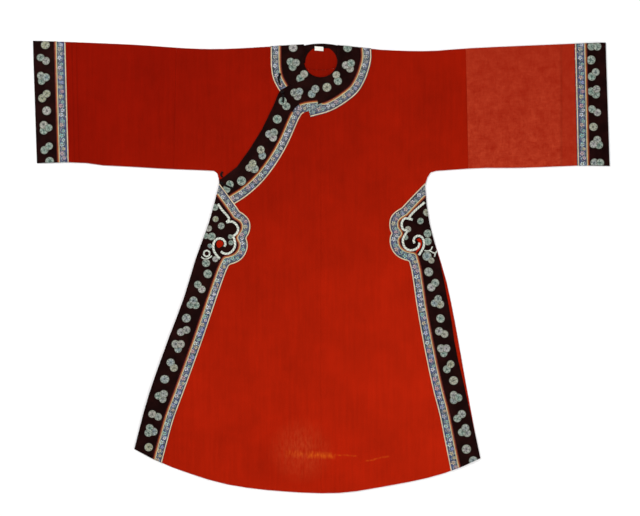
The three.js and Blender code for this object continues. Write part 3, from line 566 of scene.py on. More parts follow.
def faded_silk(colours):
    """The left sleeve's older silk: faded to a paler red, mottled, and rubbed thin in places."""
    cloth = Finish("faded_silk")
    x, y, _ = cloth.split(cloth.place)
    blotches = cloth.noise(cloth.place, 32.0, 7.0, 0.72, 0.6)
    weft = cloth.threads(cloth.place, (50.0, 170.0, 60.0), 5.0, 0.7)
    warp = cloth.threads(cloth.place, (170.0, 40.0, 60.0), 5.0, 0.7)
    threads = cloth.times(cloth.plus(weft, warp), 0.5)
    worn = cloth.share(cloth.times(blotches, threads), 0.15, 0.37)
    worn = cloth.times(worn, cloth.share(y, 0.68, 0.30, 0.55, 1.15))
    # Beyond the mottled cloth a smoother strip runs to the cuff's ribbon, behind a dark line
    off = cloth.minus(x, FADED_STRIP * MM)
    worn = cloth.times(worn, cloth.share(off, -0.006, 0.004, 1.0, 0.5))
    line = cloth.share(cloth.math("ABSOLUTE", off), 0.0008, 0.0060, 0.86, 1.0)
    shaded = cloth.shaded(cloth.mix(worn, colours.faded, colours.worn), line)
    height = cloth.scaled(threads, 1.4, cloth.weave(0.0012))
    return cloth.finish(shaded, height, 0.00014, 0.62, 0.08, 0.04, (1.0, 0.25, 0.15))


def border_satin(colours):
    """Satin of the borders: long smooth floats, nearly black with a brown-red cast where it is worn."""
    cloth = Finish("border_satin")
    wear = cloth.noise(cloth.place, 24.0, 5.0, 0.6)
    mixed = cloth.mix(cloth.share(wear, 0.42, 0.72), colours.satin, "#1e0807")
    floats = cloth.threads(cloth.place, (1200.0, 180.0, 180.0), 3.0, 0.6)
    cloth.shader.inputs["Anisotropic"].default_value = 0.3
    return cloth.finish(mixed, cloth.plus(floats, wear), 0.00016, 0.42, 0.04, 0.0, (1.0, 0.5, 0.45))


def jacquard_ribbon(colours):
    """Jacquard ribbon: flowers, leaves and a winding stem in pale silks on worn blue and lavender.
    Its map runs along the ribbon in metres, and across it from the middle."""
    cloth = Finish("jacquard_ribbon")
    straight = cloth.add("UVMap", uv_map="along").outputs["UV"]
    # Worn threads have shifted by up to a millimetre
    shift = cloth.vector("SUBTRACT", cloth.noise(straight, 130.0).outputs["Color"], (0.5, 0.5, 0.5))
    shift = cloth.vector("MULTIPLY", shift, (0.005, 0.005, 0.0))
    place = cloth.vector("ADD", straight, shift)
    along, across, _ = cloth.split(place)
    pattern = cloth.ramp(cloth.noise(place, 38.0, 3.0, 0.7), [
        (0.32, "#1f2740"), (0.43, colours.ribbon), (0.52, "#48465a"), (0.58, "#354a4e"),
        (0.66, "#2b3450"),
    ])
    # Small leaves and buds, about six millimetres apart
    buds = cloth.add("TexVoronoi", {"Vector": place, "Scale": 125.0, "Randomness": 0.9}).outputs
    hue = cloth.add("SeparateColor", {"Color": buds["Color"]})
    bud_tint = cloth.ramp(hue.outputs["Red"], [
        (0.0, "#93a8bf"), (0.2, "#5f8f86"), (0.36, "#b5adb8"), (0.5, "#161c30"), (0.66, "#9f9a80"),
        (0.78, "#56487e"), (0.9, "#161c30"), (0.97, "#96606c"),
    ])
    for low, high, strength, tint in ((0.36, 0.50, 0.75, INDIGO), (0.24, 0.34, 0.9, bud_tint)):
        pattern = cloth.mix(cloth.share(buds["Distance"], low, high, strength, 0.0), pattern, tint)
    # The stem winds from edge to edge once in each repeat, among a large and a small flower
    cell = cloth.times(along, 1 / RIBBON_REPEAT)
    number, step = cloth.math("FLOOR", cell), cloth.math("FRACT", cell)
    swing = cloth.times(cloth.math("SINE", cloth.times(cell, 2 * math.pi)), 0.0060)
    off = cloth.away(across, swing)
    for wide, tint in ((0.0017, INDIGO), (0.0009, "#a9b4b2")):
        pattern = cloth.mix(cloth.share(off, wide * 0.7, wide, 0.8, 0.0), pattern, tint)
    for flower in FLOWERS:
        radius = flower["radius"]
        pick = cloth.plus(number, flower["at"])
        chance = cloth.add("TexWhiteNoise", {"W": pick}, noise_dimensions="1D")
        x = cloth.minus(step, cloth.scaled(chance, 0.16, flower["at"] - 0.08))
        x = cloth.times(x, RIBBON_REPEAT)
        y = cloth.minus(across, flower["side"])
        far = cloth.math("SQRT", cloth.scaled(y, y, cloth.times(x, x)))
        turn = cloth.scaled(cloth.math("ARCTAN2", y, x), flower["petals"], chance)
        edge = cloth.scaled(cloth.math("COSINE", turn), radius * 0.22, radius * 0.72)
        inside = cloth.minus(edge, far)
        tint = cloth.ramp(chance, [
            (0.0, "#c6ccd6"), (0.2, "#c097a3"), (0.38, "#c2bc94"), (0.56, "#8d9bd0"), (0.74, "#e0dfe2"),
            (0.9, "#8fb9b0"),
        ])
        for low, high, strength, colour in ((-0.0012, -0.0006, 0.85, INDIGO), (0.0, 0.0006, 1.0, tint)):
            pattern = cloth.mix(cloth.share(inside, low, high, 0.0, strength), pattern, colour)
        for wide, colour in ((0.42, INDIGO), (0.28, "#948669")):
            heart = cloth.share(far, radius * wide * 0.8, radius * wide, 1.0, 0.0)
            pattern = cloth.mix(heart, pattern, colour)
    picks = cloth.threads(straight, (1500.0, 400.0, 1.0), 2.0, 0.7)
    # The ribbon round the neck and on the cloud heads has gone browner than the rest
    x, y, _ = cloth.split(cloth.place)
    browned = cloth.share(cloth.math("ABSOLUTE", x), 0.6, 0.7, 1.0, 0.0)
    browned = cloth.times(cloth.share(y, 0.02, 0.16), browned)
    uneven = cloth.times(cloth.scaled(picks, 0.8, 0.56), cloth.scaled(browned, -0.10, 1.0))
    shaded = cloth.shaded(pattern, uneven, cloth.scaled(browned, -0.30, 1.0))
    return cloth.finish(shaded, picks, 0.0002, 0.6, 0.12, 0.03, (0.9, 0.9, 1.0))


def twisted_thread(name, colour, twist, gloss):
    """A couched cord of twisted floss, whose strands turn once each twist along it.
    Its map runs along the cord in metres, and round it from 0 to 1."""
    cloth = Finish(name)
    along, round_it, _ = cloth.split(cloth.add("UVMap", uv_map="along").outputs["UV"])
    turn = cloth.scaled(round_it, 4 * math.pi, cloth.times(along, 2 * math.pi / twist))
    strand = cloth.math("SINE", turn)
    soiled = cloth.share(cloth.noise(cloth.place, 60.0, 4.0), 0.3, 0.7, 0.78, 1.08)
    # Painted shade: each strand is drawn darker towards the groove beside it, and the noise adds soil
    value = cloth.times(cloth.share(strand, -1.0, 0.2, 0.55, 1.0), soiled)
    return cloth.finish(cloth.shaded(colour, value), strand, 0.0002, 0.6, gloss, 0.1)


def embroidered_medallion():
    """A medallion in satin stitch: a pale outline, petals in sea green and grey, and a knotted middle.
    Its map runs from -1 to 1 over each medallion, and its tint differs from one to the next."""
    cloth = Finish("embroidered_medallion")
    flat = cloth.add("UVMap", uv_map="round").outputs["UV"]
    x, y, _ = cloth.split(flat)
    tint = cloth.add("Attribute", attribute_name="tint").outputs["Fac"]
    far = cloth.add("VectorMath", {0: flat}, operation="LENGTH").outputs["Value"]
    turn = cloth.math("ARCTAN2", y, x)
    petals = cloth.plus(cloth.math("FLOOR", cloth.times(tint, 3.0)), 5.0)
    lobes = cloth.math("COSINE", cloth.times(turn, petals))
    inside = cloth.minus(cloth.scaled(lobes, 0.14, 0.6), far)
    field = cloth.ramp(tint, [
        (0.0, "#4f6c66"), (0.25, "#64796f"), (0.45, "#6f6f66"), (0.65, "#486a6a"), (0.82, "#8a8585"),
        (1.0, "#7c7a58"),
    ])
    petal = cloth.ramp(tint, [
        (0.0, "#9fae9f"), (0.25, "#7fa396"), (0.45, "#aca2a8"), (0.65, "#8fa3ab"), (0.82, "#c3b8bb"),
        (1.0, "#a7aa86"),
    ])
    veined = cloth.mix(cloth.scaled(lobes, 0.5, 0.5), field, petal)
    base = cloth.mix(cloth.share(inside, -0.03, 0.03), field, veined)
    # Bits of other floss, each some three millimetres long, then the petals' outline, the heart, the
    # pale rim and, round it, a dark ring of painted shadow that parts each medallion from those it
    # overlaps
    bits = cloth.add("TexVoronoi", {"Vector": cloth.place, "Scale": 330.0})
    bit = cloth.add("SeparateColor", {"Color": bits.outputs["Color"]}).outputs
    outline = cloth.math("ABSOLUTE", inside)
    for value, low, high, first, last, colour in (
        (bit["Red"], 0.62, 0.72, 0.0, 0.6, "#2c3836"), (bit["Green"], 0.66, 0.76, 0.0, 0.42, "#c6c9bc"),
        (outline, 0.02, 0.07, 0.7, 0.0, "#c9cbbd"), (far, 0.12, 0.20, 0.8, 0.0, "#39443f"),
        (far, 0.78, 0.84, 0.0, 0.75, "#a9aa9a"), (far, 0.88, 0.93, 0.0, 0.9, "#1d2422"),
    ):
        base = cloth.mix(cloth.share(value, low, high, first, last), base, colour)
    # Satin stitches lie side by side, each about a fortieth of the way round
    stitches = cloth.math("SINE", cloth.times(turn, 40.0))
    uneven = cloth.scaled(cloth.noise(cloth.place, 700.0), 0.8, 0.52)
    return cloth.finish(cloth.shaded(base, uneven), stitches, 0.0002, 0.5, 0.15, 0.03)


def label_cotton(colours):
    """A bare cotton tape, plain woven and a little soiled."""
    cloth = Finish("label_cotton")
    mixed = cloth.mix(cloth.noise(cloth.place, 90.0, 4.0), colours.label, "#d9d4c8")
    return cloth.finish(mixed, cloth.weave(0.0009), 0.0001, 0.8, 0.2, 0.1)


def studio_paper():
    """The pale board under the robe."""
    paper = Finish("studio_paper")
    tone = paper.share(paper.noise(paper.place, 30.0, 3.0), 0.0, 1.0, 0.90, 0.93)
    paper.tree.links.new(tone.outputs["Result"], paper.shader.inputs["Base Color"])
    paper.shader.inputs["Roughness"].default_value = 0.9
    paper.shader.inputs["Specular IOR Level"].default_value = 0.1
    return paper.made


# For each finish, what makes its material, and the slot that it stands for
FINISHES = {
    "silk": (damask_silk, "silk"),
    "faded": (faded_silk, "faded_silk"),
    "satin": (border_satin, "satin"),
    "ribbon": (jacquard_ribbon, "ribbon"),
    "medallion": (lambda _: embroidered_medallion(), "ribbon"),
    "label": (label_cotton, "label"),
    "cream": (lambda c: twisted_thread("cream_piping", c.cream, 0.004, 0.2), "ribbon"),
    "straw": (lambda c: twisted_thread("straw_piping", "#cfc59a", 0.004, 0.2), "ribbon"),
    "rust": (lambda c: twisted_thread("rust_piping", c.rust, 0.004, 0.2), "ribbon"),
    "crimson": (lambda c: twisted_thread("crimson_piping", "#5e0f0b", 0.004, 0.1), "ribbon"),
    "braid": (lambda c: twisted_thread("couched_braid", c.braid, 0.009, 0.2), "braid"),
    "cord": (lambda c: twisted_thread("fastener_cord", c.cord, 0.004, 0.08), "cord"),
}
materials = {}


def material(finish):
    """The material of a finish, made when it is first asked for."""
    if finish not in materials:
        materials[finish] = FINISHES[finish][0](bpy.context.scene.robe_colours)
    return materials[finish]


# The lie of the two front layers


def smoothstep(value):
    """A value from 0 to 1, eased at both ends."""
    t = np.clip(value, 0.0, 1.0)
    return t * t * (3 - 2 * t)


def blur(grid, sigma):
    """A grid of heights, blurred by a bell so many cells wide."""
    reach = int(math.ceil(3 * sigma))
    bell = np.exp(-0.5 * (np.arange(-reach, reach + 1) / sigma) ** 2)
    for axis in (0, 1):
        grid = np.apply_along_axis(lambda row: np.convolve(row, bell / bell.sum(), "same"), axis, grid)
    return grid


def surface_of(name):
    """A node's surface, for rays."""
    mesh = NODES[name].data
    return BVHTree.FromPolygons([v.co for v in mesh.vertices], [p.vertices for p in mesh.polygons])


class Lie:
    """How high the top of each front layer lies over the whole robe, in the frame and as finished."""

    CELL = 0.005
    LAYERS = {
        "outer": ("overlap_front", "body_left", "sleeve_left", "cuff_left", "cuff_ribbon_left"),
        "under": ("body_right", "sleeve_right", "cuff_right", "cuff_ribbon_right"),
    }
    FRONT = 0.002  # what lies higher than this belongs to a front
    LOWEST = 0.00272  # a front's top where it rests on the back
    FOLD = 0.00135  # the middle of the fold over the shoulders
    FOLD_ABOVE = 0.64  # the fold lies further up the robe than this
    APART = 0.0015  # from the top of the front below to the top of the outer one
    RIBBON_RAISE = 0.0008  # how far a cuff's ribbon stands proud of its front
    SHOULDERS = ("body_left", "body_right", "sleeve_left", "sleeve_right", "cuff_left", "cuff_right")

    def __init__(self, cloth):
        self.low = np.array(CAD_BOX[0][:2]) - 0.02
        size = np.array(CAD_BOX[1][:2]) + 0.02 - self.low
        columns, rows = (np.ceil(size / self.CELL).astype(int) + 1).tolist()
        self.x = self.low[0] + np.arange(columns) * self.CELL
        self.y = self.low[1] + np.arange(rows) * self.CELL
        added = self.creases(cloth)
        rough_of, laid_of, there_of = {}, {}, {}
        for layer, names in self.LAYERS.items():
            known = self.sample(names)
            there = (~np.isnan(known)).astype(float)
            filled = np.nan_to_num(known)
            spread = blur(there, 3.0)
            near = blur(filled, 3.0) / np.maximum(spread, 1e-6)
            rough = np.where(there > 0, known, np.where(spread > 1e-3, near, 0.0027))
            sigma = cloth.ease / self.CELL
            weight = np.maximum(blur(there, sigma), 1e-6)
            eased = np.where(weight > 1e-3, blur(filled, sigma) / weight, rough)
            rough_of[layer], laid_of[layer], there_of[layer] = rough, eased + added, there
        # Each front stays above the back, and the outer one above the one below it
        under = np.maximum(laid_of["under"], self.LOWEST)
        free = np.maximum(laid_of["outer"], self.LOWEST)
        covers = blur(there_of["under"], 1.0) > 0.02
        self.top = {"under": under, "outer": np.where(covers, np.maximum(free, under + self.APART), free)}
        self.change = {layer: self.top[layer] - rough_of[layer] for layer in self.LAYERS}
        # The fold over the shoulders: its height up the robe at each place across
        folds = sorted({
            (v.co.x, v.co.y) for name in self.SHOULDERS for v in NODES[name].data.vertices
            if abs(v.co.z - self.FOLD) < 0.0003 and v.co.y > self.FOLD_ABOVE
        })
        self.fold = [p[0] for p in folds], [p[1] for p in folds]

    def sample(self, names):
        """The top of the named fronts at each crossing, or nan where there is none."""
        found = np.full((len(self.x), len(self.y)), np.nan)
        for name in names:
            surface = surface_of(name)
            low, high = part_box(name)
            raised = self.RIBBON_RAISE if "ribbon" in name else 0.0
            for i in np.nonzero((self.x >= low.x) & (self.x <= high.x))[0]:
                for j in np.nonzero((self.y >= low.y) & (self.y <= high.y))[0]:
                    hit = surface.ray_cast(Vector((self.x[i], self.y[j], ABOVE)), DOWN)[0]
                    if hit and hit.z > self.FRONT:
                        found[i, j] = hit.z - raised
        return found

    def creases(self, cloth):
        """Ripples along the robe, small uneven places, and the crests of the large creases."""
        found = np.zeros((len(self.x), len(self.y)))
        for i, x in enumerate(self.x):
            for j, y in enumerate(self.y):
                long_ripple = noise.noise(Vector((x / 0.045, y / 0.26, 3.1)))
                small = noise.noise(Vector((x / 0.020, y / 0.034, 8.7)))
                found[i, j] = cloth.ripple * long_ripple + cloth.crumple * small
        for row in CREASES:
            lean = math.radians(row["lean"])
            away_x = self.x[:, None] - row["x"] * MM
            away_y = self.y[None, :] - row["y"] * MM
            along = away_x * math.sin(lean) - away_y * math.cos(lean)
            across = away_x * math.cos(lean) + away_y * math.sin(lean)
            bend = across + 0.004 * np.sin(along / 0.03)
            fade = smoothstep(1.6 - np.abs(along) / (row["length"] * MM / 2))
            found += cloth.crest * fade * np.exp(-((bend / cloth.crest_width) ** 2))
        return found

    def at(self, grid, x, y):
        """A grid's value at places between its crossings."""
        i = np.clip((x - self.low[0]) / self.CELL, 0, len(self.x) - 1.001)
        j = np.clip((y - self.low[1]) / self.CELL, 0, len(self.y) - 1.001)
        i0, j0 = i.astype(int), j.astype(int)
        a, b = i - i0, j - j0
        return (
            grid[i0, j0] * (1 - a) * (1 - b) + grid[i0 + 1, j0] * a * (1 - b)
            + grid[i0, j0 + 1] * (1 - a) * b + grid[i0 + 1, j0 + 1] * a * b
        )

    def on(self, layer, flat, raised):
        """Heights of places on a layer's top, raised off it."""
        return self.at(self.top[layer], flat[:, 0], flat[:, 1]) + raised

    def settle(self, places, layer):
        """Places of a front as they finally lie. Backs and the shoulder's fold stay as they are."""
        x, y, z = places.T
        depth = np.interp(x, *self.fold) - y
        share = smoothstep((depth - 0.003) / 0.02) * (z > self.FRONT * 0.7)
        moved = places.copy()
        moved[:, 2] = z + share * self.at(self.change[layer], x, y)
        return moved


lie = None


def lay():
    """The lie of the fronts, worked out when it is first asked for."""
    global lie
    lie = lie or Lie(bpy.context.scene.robe_cloth)
    return lie


# Cloth from the outside of a node


def shows(face):
    """Whether a face is on the outside of its node: a front's top, a back's underside or the fold."""
    normal, height = face.normal, face.calc_center_median().z
    if normal.y > 0.3 and abs(normal.z) > 0.2:
        return True
    return (normal.z > 0.2 and height > FRONT_TOP) or (normal.z < -0.2 and height < BACK_UNDER)


def outside(name):
    """The outside of a node as one open sheet, its doubles merged."""
    sheet = bmesh.new()
    sheet.from_mesh(NODES[name].data)
    bmesh.ops.remove_doubles(sheet, verts=sheet.verts, dist=0.00002)
    sheet.normal_update()
    bmesh.ops.delete(sheet, geom=[f for f in sheet.faces if not shows(f)], context="FACES")
    return sheet


def divide_long_edges(sheet, edges, step):
    """Cuts edges into equal lengths no longer than a step."""
    by_count = {}
    for edge in edges:
        cuts = int(edge.calc_length() / step)
        if cuts:
            by_count.setdefault(min(cuts, 60), []).append(edge)
    for cuts, group in by_count.items():
        bmesh.ops.subdivide_edges(sheet, edges=group, cuts=cuts, use_grid_fill=False)


def faces_within(faces, rim):
    """The faces that lie within a rim: each crossing of it, from the far outside, goes in or out."""
    users = {}
    for i, face in enumerate(faces):
        for a, b in zip(face, [*face[1:], face[0]]):
            users.setdefault(frozenset((a, b)), []).append(i)
    within = {}
    waiting = []
    for edge, used in users.items():
        if len(used) == 1 and used[0] not in within:
            within[used[0]] = edge in rim
            waiting.append(used[0])
    while waiting:
        i = waiting.pop()
        face = faces[i]
        for a, b in zip(face, [*face[1:], face[0]]):
            edge = frozenset((a, b))
            for j in users[edge]:
                if j not in within:
                    within[j] = within[i] != (edge in rim)
                    waiting.append(j)
    return [face for i, face in enumerate(faces) if within[i]]


def level_part(sheet, side):
    """The faces of a sheet that face up (side 1) or down (side -1), and the edges round them."""
    level = [f for f in sheet.faces if f.normal.z * side > 0.5]
    rim = {e for f in level for e in f.edges if sum(g.normal.z * side > 0.5 for g in e.link_faces) == 1}
    return level, rim


def refine(sheet, step, side):
    """Draws the part of a sheet that faces up (side 1) or down (side -1) again, in small even faces."""
    divide_long_edges(sheet, level_part(sheet, side)[1], step)
    sheet.normal_update()
    level, rim = level_part(sheet, side)
    if not level:
        return
    corners = list({v for e in rim for v in e.verts})
    order = {v: i for i, v in enumerate(corners)}
    flat = [
        v.co.copy() for f in level for k in range(1, len(f.verts) - 1)
        for v in (f.verts[0], f.verts[k], f.verts[k + 1])
    ]
    surface = BVHTree.FromPolygons(flat, [(i, i + 1, i + 2) for i in range(0, len(flat), 3)])
    near = kdtree.KDTree(len(corners))
    for i, v in enumerate(corners):
        near.insert((v.co.x, v.co.y, 0), i)
    near.balance()
    low_x, high_x = min(v.co.x for v in corners), max(v.co.x for v in corners)
    low_y, high_y = min(v.co.y for v in corners), max(v.co.y for v in corners)
    rise = step * math.sqrt(3) / 2
    inner = []
    for j in range(int((high_y - low_y) / rise) + 1):
        y = low_y + (j + 0.5) * rise
        for i in range(int((high_x - low_x) / step) + 1):
            x = low_x + (i + 0.5 * (j % 2)) * step
            if near.find((x, y, 0))[2] < step * 0.6:
                continue
            hit = surface.ray_cast(Vector((x, y, ABOVE)), DOWN)[0]
            if hit:
                inner.append(hit)
    places = [v.co.xy for v in corners] + [p.xy for p in inner]
    edges = [(order[e.verts[0]], order[e.verts[1]]) for e in rim]
    found, walls, faces, origin, sources, _ = geometry.delaunay_2d_cdt(places, edges, [], 0, 1e-7)
    rim_edges = {frozenset(edge) for edge, source in zip(walls, sources) if source}
    bmesh.ops.delete(sheet, geom=level, context="FACES_KEEP_BOUNDARY")
    made = []
    for place, source in zip(found, origin):
        if source and source[0] < len(corners):
            made.append(corners[source[0]])
        elif source:
            made.append(sheet.verts.new(inner[source[0] - len(corners)]))
        else:
            hit = surface.ray_cast(Vector((place.x, place.y, ABOVE)), DOWN)[0]
            made.append(sheet.verts.new(hit or Vector((place.x, place.y, 0))))
    for face in faces_within(faces, rim_edges):
        ring = [made[i] for i in (face if side > 0 else reversed(face))]
        if len(set(ring)) == 3 and not sheet.faces.get(ring):
            sheet.faces.new(ring)
    bmesh.ops.delete(sheet, geom=[v for v in sheet.verts if not v.link_faces], context="VERTS")


def skin(row, step, back_step=None):
    """The outside of a node in small faces, lying as the finished robe does."""
    sheet = outside(row["node"])
    refine(sheet, step, 1)
    if back_step:
        refine(sheet, back_step, -1)
    places = lay().settle(np.array([v.co[:] for v in sheet.verts]), row["layer"])
    if row["node"].startswith(("body", "overlap")):
        # The halves are sewn edge to edge down the middle
        aside = places[:, 0] - CENTRE_SEAM
        sewn = np.abs(aside) < SEAM_REACH
        places[sewn, 0] = CENTRE_SEAM + np.sign(aside[sewn]) * SEAM_GAP
    for vert, place in zip(sheet.verts, places):
        vert.co = place
    sheet.normal_update()
    return sheet


def cut_of(sheet):
    """The smallest rectangle that a sheet's flat cut fits in, and the cut's area, in metres."""
    area = sum(f.calc_area() for f in sheet.faces)
    x, y, z = np.array([v.co[:] for v in sheet.verts]).T
    back = z < BACK_TOP
    if back.any() and not back.all():
        y = np.where(back, 2 * np.interp(x, *lay().fold) - y, y)
    cuts = []
    for turn in np.radians(np.arange(0, 90, 3)):
        across = x * math.cos(turn) + y * math.sin(turn)
        along = y * math.cos(turn) - x * math.sin(turn)
        cuts.append(sorted((float(np.ptp(across)), float(np.ptp(along)))))
    return tuple(min(cuts, key=lambda cut: cut[0] * cut[1])), area


# Pieces


def select_only(piece):
    """Makes a piece the only one selected, and the active one."""
    bpy.ops.object.select_all(action="DESELECT")
    piece.select_set(True)
    bpy.context.view_layer.objects.active = piece


def new_piece(name, mesh, finish):
    """A finished piece of the robe with its material, moving with it."""
    piece = bpy.data.objects.new(name, mesh)
    bpy.context.scene.collection.objects.link(piece)
    piece.data.materials.clear()
    piece.data.materials.append(material(finish))
    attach(piece, BODY)
    return piece


def drawn_piece(name, sheet, finish):
    """A piece from a mesh that has been drawn, which is then freed."""
    mesh = bpy.data.meshes.new(name)
    sheet.to_mesh(mesh)
    sheet.free()
    return new_piece(name, mesh, finish)


def smooth_shading(piece, angle=40):
    """Shades a piece smooth, except over sharp edges."""
    select_only(piece)
    bpy.ops.object.shade_smooth_by_angle(angle=math.radians(angle))


def give_wall(piece, thickness, edge):
    """Gives a sheet its wall on the inside, and rounds its turned edges."""
    select_only(piece)
    wall = piece.modifiers.new("wall", "SOLIDIFY")
    wall.thickness = thickness
    wall.offset = -1
    bpy.ops.object.modifier_apply(modifier=wall.name)
    rounding = piece.modifiers.new("edge", "BEVEL")
    rounding.width = edge
    rounding.segments = 2
    rounding.limit_method = "ANGLE"
    rounding.angle_limit = math.radians(60)
    bpy.ops.object.modifier_apply(modifier=rounding.name)
    smooth_shading(piece)


def finish_sheet(piece, row, wall):
    give_wall(piece, wall, bpy.context.scene.robe_cloth.edge)
    if "_back" in row["node"]:
        # The inside of a back's border or ribbon is faced with the robe's red silk
        piece.data.materials.append(material("silk"))
        for face in piece.data.polygons:
            if face.normal.z > 0.5 and face.center.z > 0.0008:
                face.material_index = 1
    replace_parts(piece, row["node"])


def cut_piece(row, step, wall):
    """A panel or border, drawn from its node's outside and given its wall in place of the node."""
    sheet = skin(row, step)
    flat, area = cut_of(sheet)
    piece = drawn_piece(f"{row['finish']}_{row['node']}", sheet, row["finish"])
    finish_sheet(piece, row, wall)


def trim_wall(row):
    """The wall of a border or ribbon, which is thicker where it takes the cloth's place."""
    cloth = bpy.context.scene.robe_cloth
    return cloth.wall if row["rests_on"] == "floor" else cloth.trim_wall


# Lines that ribbons, braid and piping follow


def smooth_line(rows, step=0.002):
    """A smooth line through a table's places, as points no further apart than a step."""
    known = np.array([(row["x"], row["y"]) for row in rows]) * MM
    before, after = 2 * known[0] - known[1], 2 * known[-1] - known[-2]
    known = np.vstack([before, known, after])
    points = []
    for i in range(1, len(known) - 2):
        p0, p1, p2, p3 = known[i - 1:i + 3]
        d0, d1, d2 = (max(np.linalg.norm(b - a) ** 0.5, 1e-5) for a, b in ((p0, p1), (p1, p2), (p2, p3)))
        start = ((p1 - p0) / d0 - (p2 - p0) / (d0 + d1) + (p2 - p1) / d1) * d1
        end = ((p2 - p1) / d1 - (p3 - p1) / (d1 + d2) + (p3 - p2) / d2) * d1
        count = max(2, int(np.linalg.norm(p2 - p1) / step))
        for t in np.arange(count) / count:
            c2, c3 = 3 * (p2 - p1) - 2 * start - end, 2 * (p1 - p2) + start + end
            points.append(p1 + t * (start + t * (c2 + t * c3)))
    points.append(known[-2])
    return np.array(points)


def run_of(points):
    """How far along a line each of its points is."""
    return np.concatenate([[0], np.cumsum(np.linalg.norm(np.diff(points, axis=0), axis=1))])


def unit(vectors):
    """Vectors made one long."""
    return vectors / np.maximum(np.linalg.norm(vectors, axis=1), 1e-9)[:, None]


class Line:
    """A ribbon's or braid's centre line, on which any place has a distance along and aside."""

    def __init__(self, stretches):
        parts = [smooth_line(rows) for rows in stretches]
        self.starts = np.vstack([p[:-1] for p in parts])
        self.runs = np.vstack([p[1:] - p[:-1] for p in parts])
        self.lengths = np.linalg.norm(self.runs, axis=1)
        self.before = np.concatenate([[0], np.cumsum(self.lengths)[:-1]])

    def locate(self, verts):
        """For each point: how far along it is, how far aside (+ to the left) and the nearest place."""
        along, aside, nearest = [], [], []
        for place in np.array([v.co[:2] for v in verts]):
            away = place - self.starts
            share = np.clip((away * self.runs).sum(1) / self.lengths ** 2, 0, 1)
            foot = self.starts + self.runs * share[:, None]
            gaps = np.linalg.norm(place - foot, axis=1)
            i = int(gaps.argmin())
            side = self.runs[i][0] * away[i][1] - self.runs[i][1] * away[i][0]
            along.append(self.before[i] + share[i] * self.lengths[i])
            aside.append(math.copysign(gaps[i], side))
            nearest.append(foot[i])
        return along, aside, nearest


def even(points, normals, step, ease=1):
    """A line of places and their normals, smoothed a little and spaced evenly."""
    for _ in range(ease):
        points[1:-1] = (points[:-2] + 2 * points[1:-1] + points[2:]) / 4
    run = run_of(points)
    at = np.linspace(0, run[-1], max(2, int(run[-1] / step)) + 1)
    spaced, turned = (
        np.column_stack([np.interp(at, run, values[:, k]) for k in range(3)])
        for values in (points, normals)
    )
    return spaced, unit(turned)


def upright(points):
    """A normal straight up for each point."""
    return np.tile([0.0, 0.0, 1.0], (len(points), 1))


def sweep(sheet, points, normals, half_width, height, sides):
    """Adds a closed cord of oval section along a line to a mesh, with a map along and round it."""
    layer = sheet.loops.layers.uv.get("along") or sheet.loops.layers.uv.new("along")
    aside = unit(np.cross(normals, unit(np.gradient(points, axis=0))))
    along = run_of(points)
    turns = 2 * math.pi * np.arange(sides) / sides
    rings = [
        [
            sheet.verts.new(middle + side * half_width * math.cos(t) + normal * height * math.sin(t))
            for t in turns
        ]
        for middle, side, normal in zip(points, aside, normals)
    ]
    for i in range(len(points) - 1):
        for k in range(sides):
            corners = ((i, k), (i + 1, k), (i + 1, k + 1), (i, k + 1))
            face = sheet.faces.new([rings[a][b % sides] for a, b in corners])
            face.smooth = True
            for loop, (a, b) in zip(face.loops, corners):
                loop[layer].uv = (along[a], b / sides)
    sheet.faces.new(rings[0])
    sheet.faces.new(list(reversed(rings[-1])))


def same_side(place, a, b):
    """Whether two places lie on the same side of a line."""
    return place[a][0] * place[b][0] > 0


def edges_beside(sheet, line, half):
    """The stretches of a ribbon's rim that run beside its line, each with the side that it lies on."""
    links = {}
    for edge in sheet.edges:
        if edge.is_boundary:
            a, b = edge.verts
            links.setdefault(a, []).append(b)
            links.setdefault(b, []).append(a)
    verts = list(links)
    _, aside, nearest = line.locate(verts)
    place = dict(zip(verts, zip(aside, nearest)))
    beside = {v for v in verts if abs(abs(place[v][0]) - half) < 0.0022}
    stretches, seen = [], set()
    ends = [v for v in beside if sum(w in beside and same_side(place, v, w) for w in links[v]) < 2]
    for start in ends + list(beside):
        if start in seen:
            continue
        chain, onward = [], [start]
        while onward:
            chain.append(onward[0])
            seen.add(onward[0])
            onward = [
                w for w in links[chain[-1]]
                if w in beside and w not in seen and same_side(place, chain[-1], w)
            ]
        if len(chain) > 4:
            side = 1 if sum(place[v][0] for v in chain) > 0 else -1
            stretches.append((side, chain, [place[v][1] for v in chain]))
    return stretches


def shifted(chain, feet, reach, out):
    """A rim's places moved to so far from a line, and raised off the cloth, with their normals."""
    points = np.array([v.co[:] for v in chain])
    normals = np.array([v.normal[:] for v in chain])
    points[:, :2] = feet + unit(points[:, :2] - feet) * reach
    return points + normals * out, normals


# Operators


class ROBE_OT_panels(bpy.types.Operator):
    """Lays the red silk panels and the faded left sleeve."""

    bl_idname = "robe.panels"
    bl_label = "Silk Panels"

    def execute(self, context):
        cloth = context.scene.robe_cloth
        for row in PANELS:
            cut_piece(row, cloth.step, cloth.wall)
        return {"FINISHED"}


class ROBE_OT_borders(bpy.types.Operator):
    """Sews the dark satin borders on."""

    bl_idname = "robe.borders"
    bl_label = "Satin Borders"

    def execute(self, context):
        for row in BORDERS:
            cut_piece(row, context.scene.robe_cloth.trim_step * 1.3, trim_wall(row))
        return {"FINISHED"}


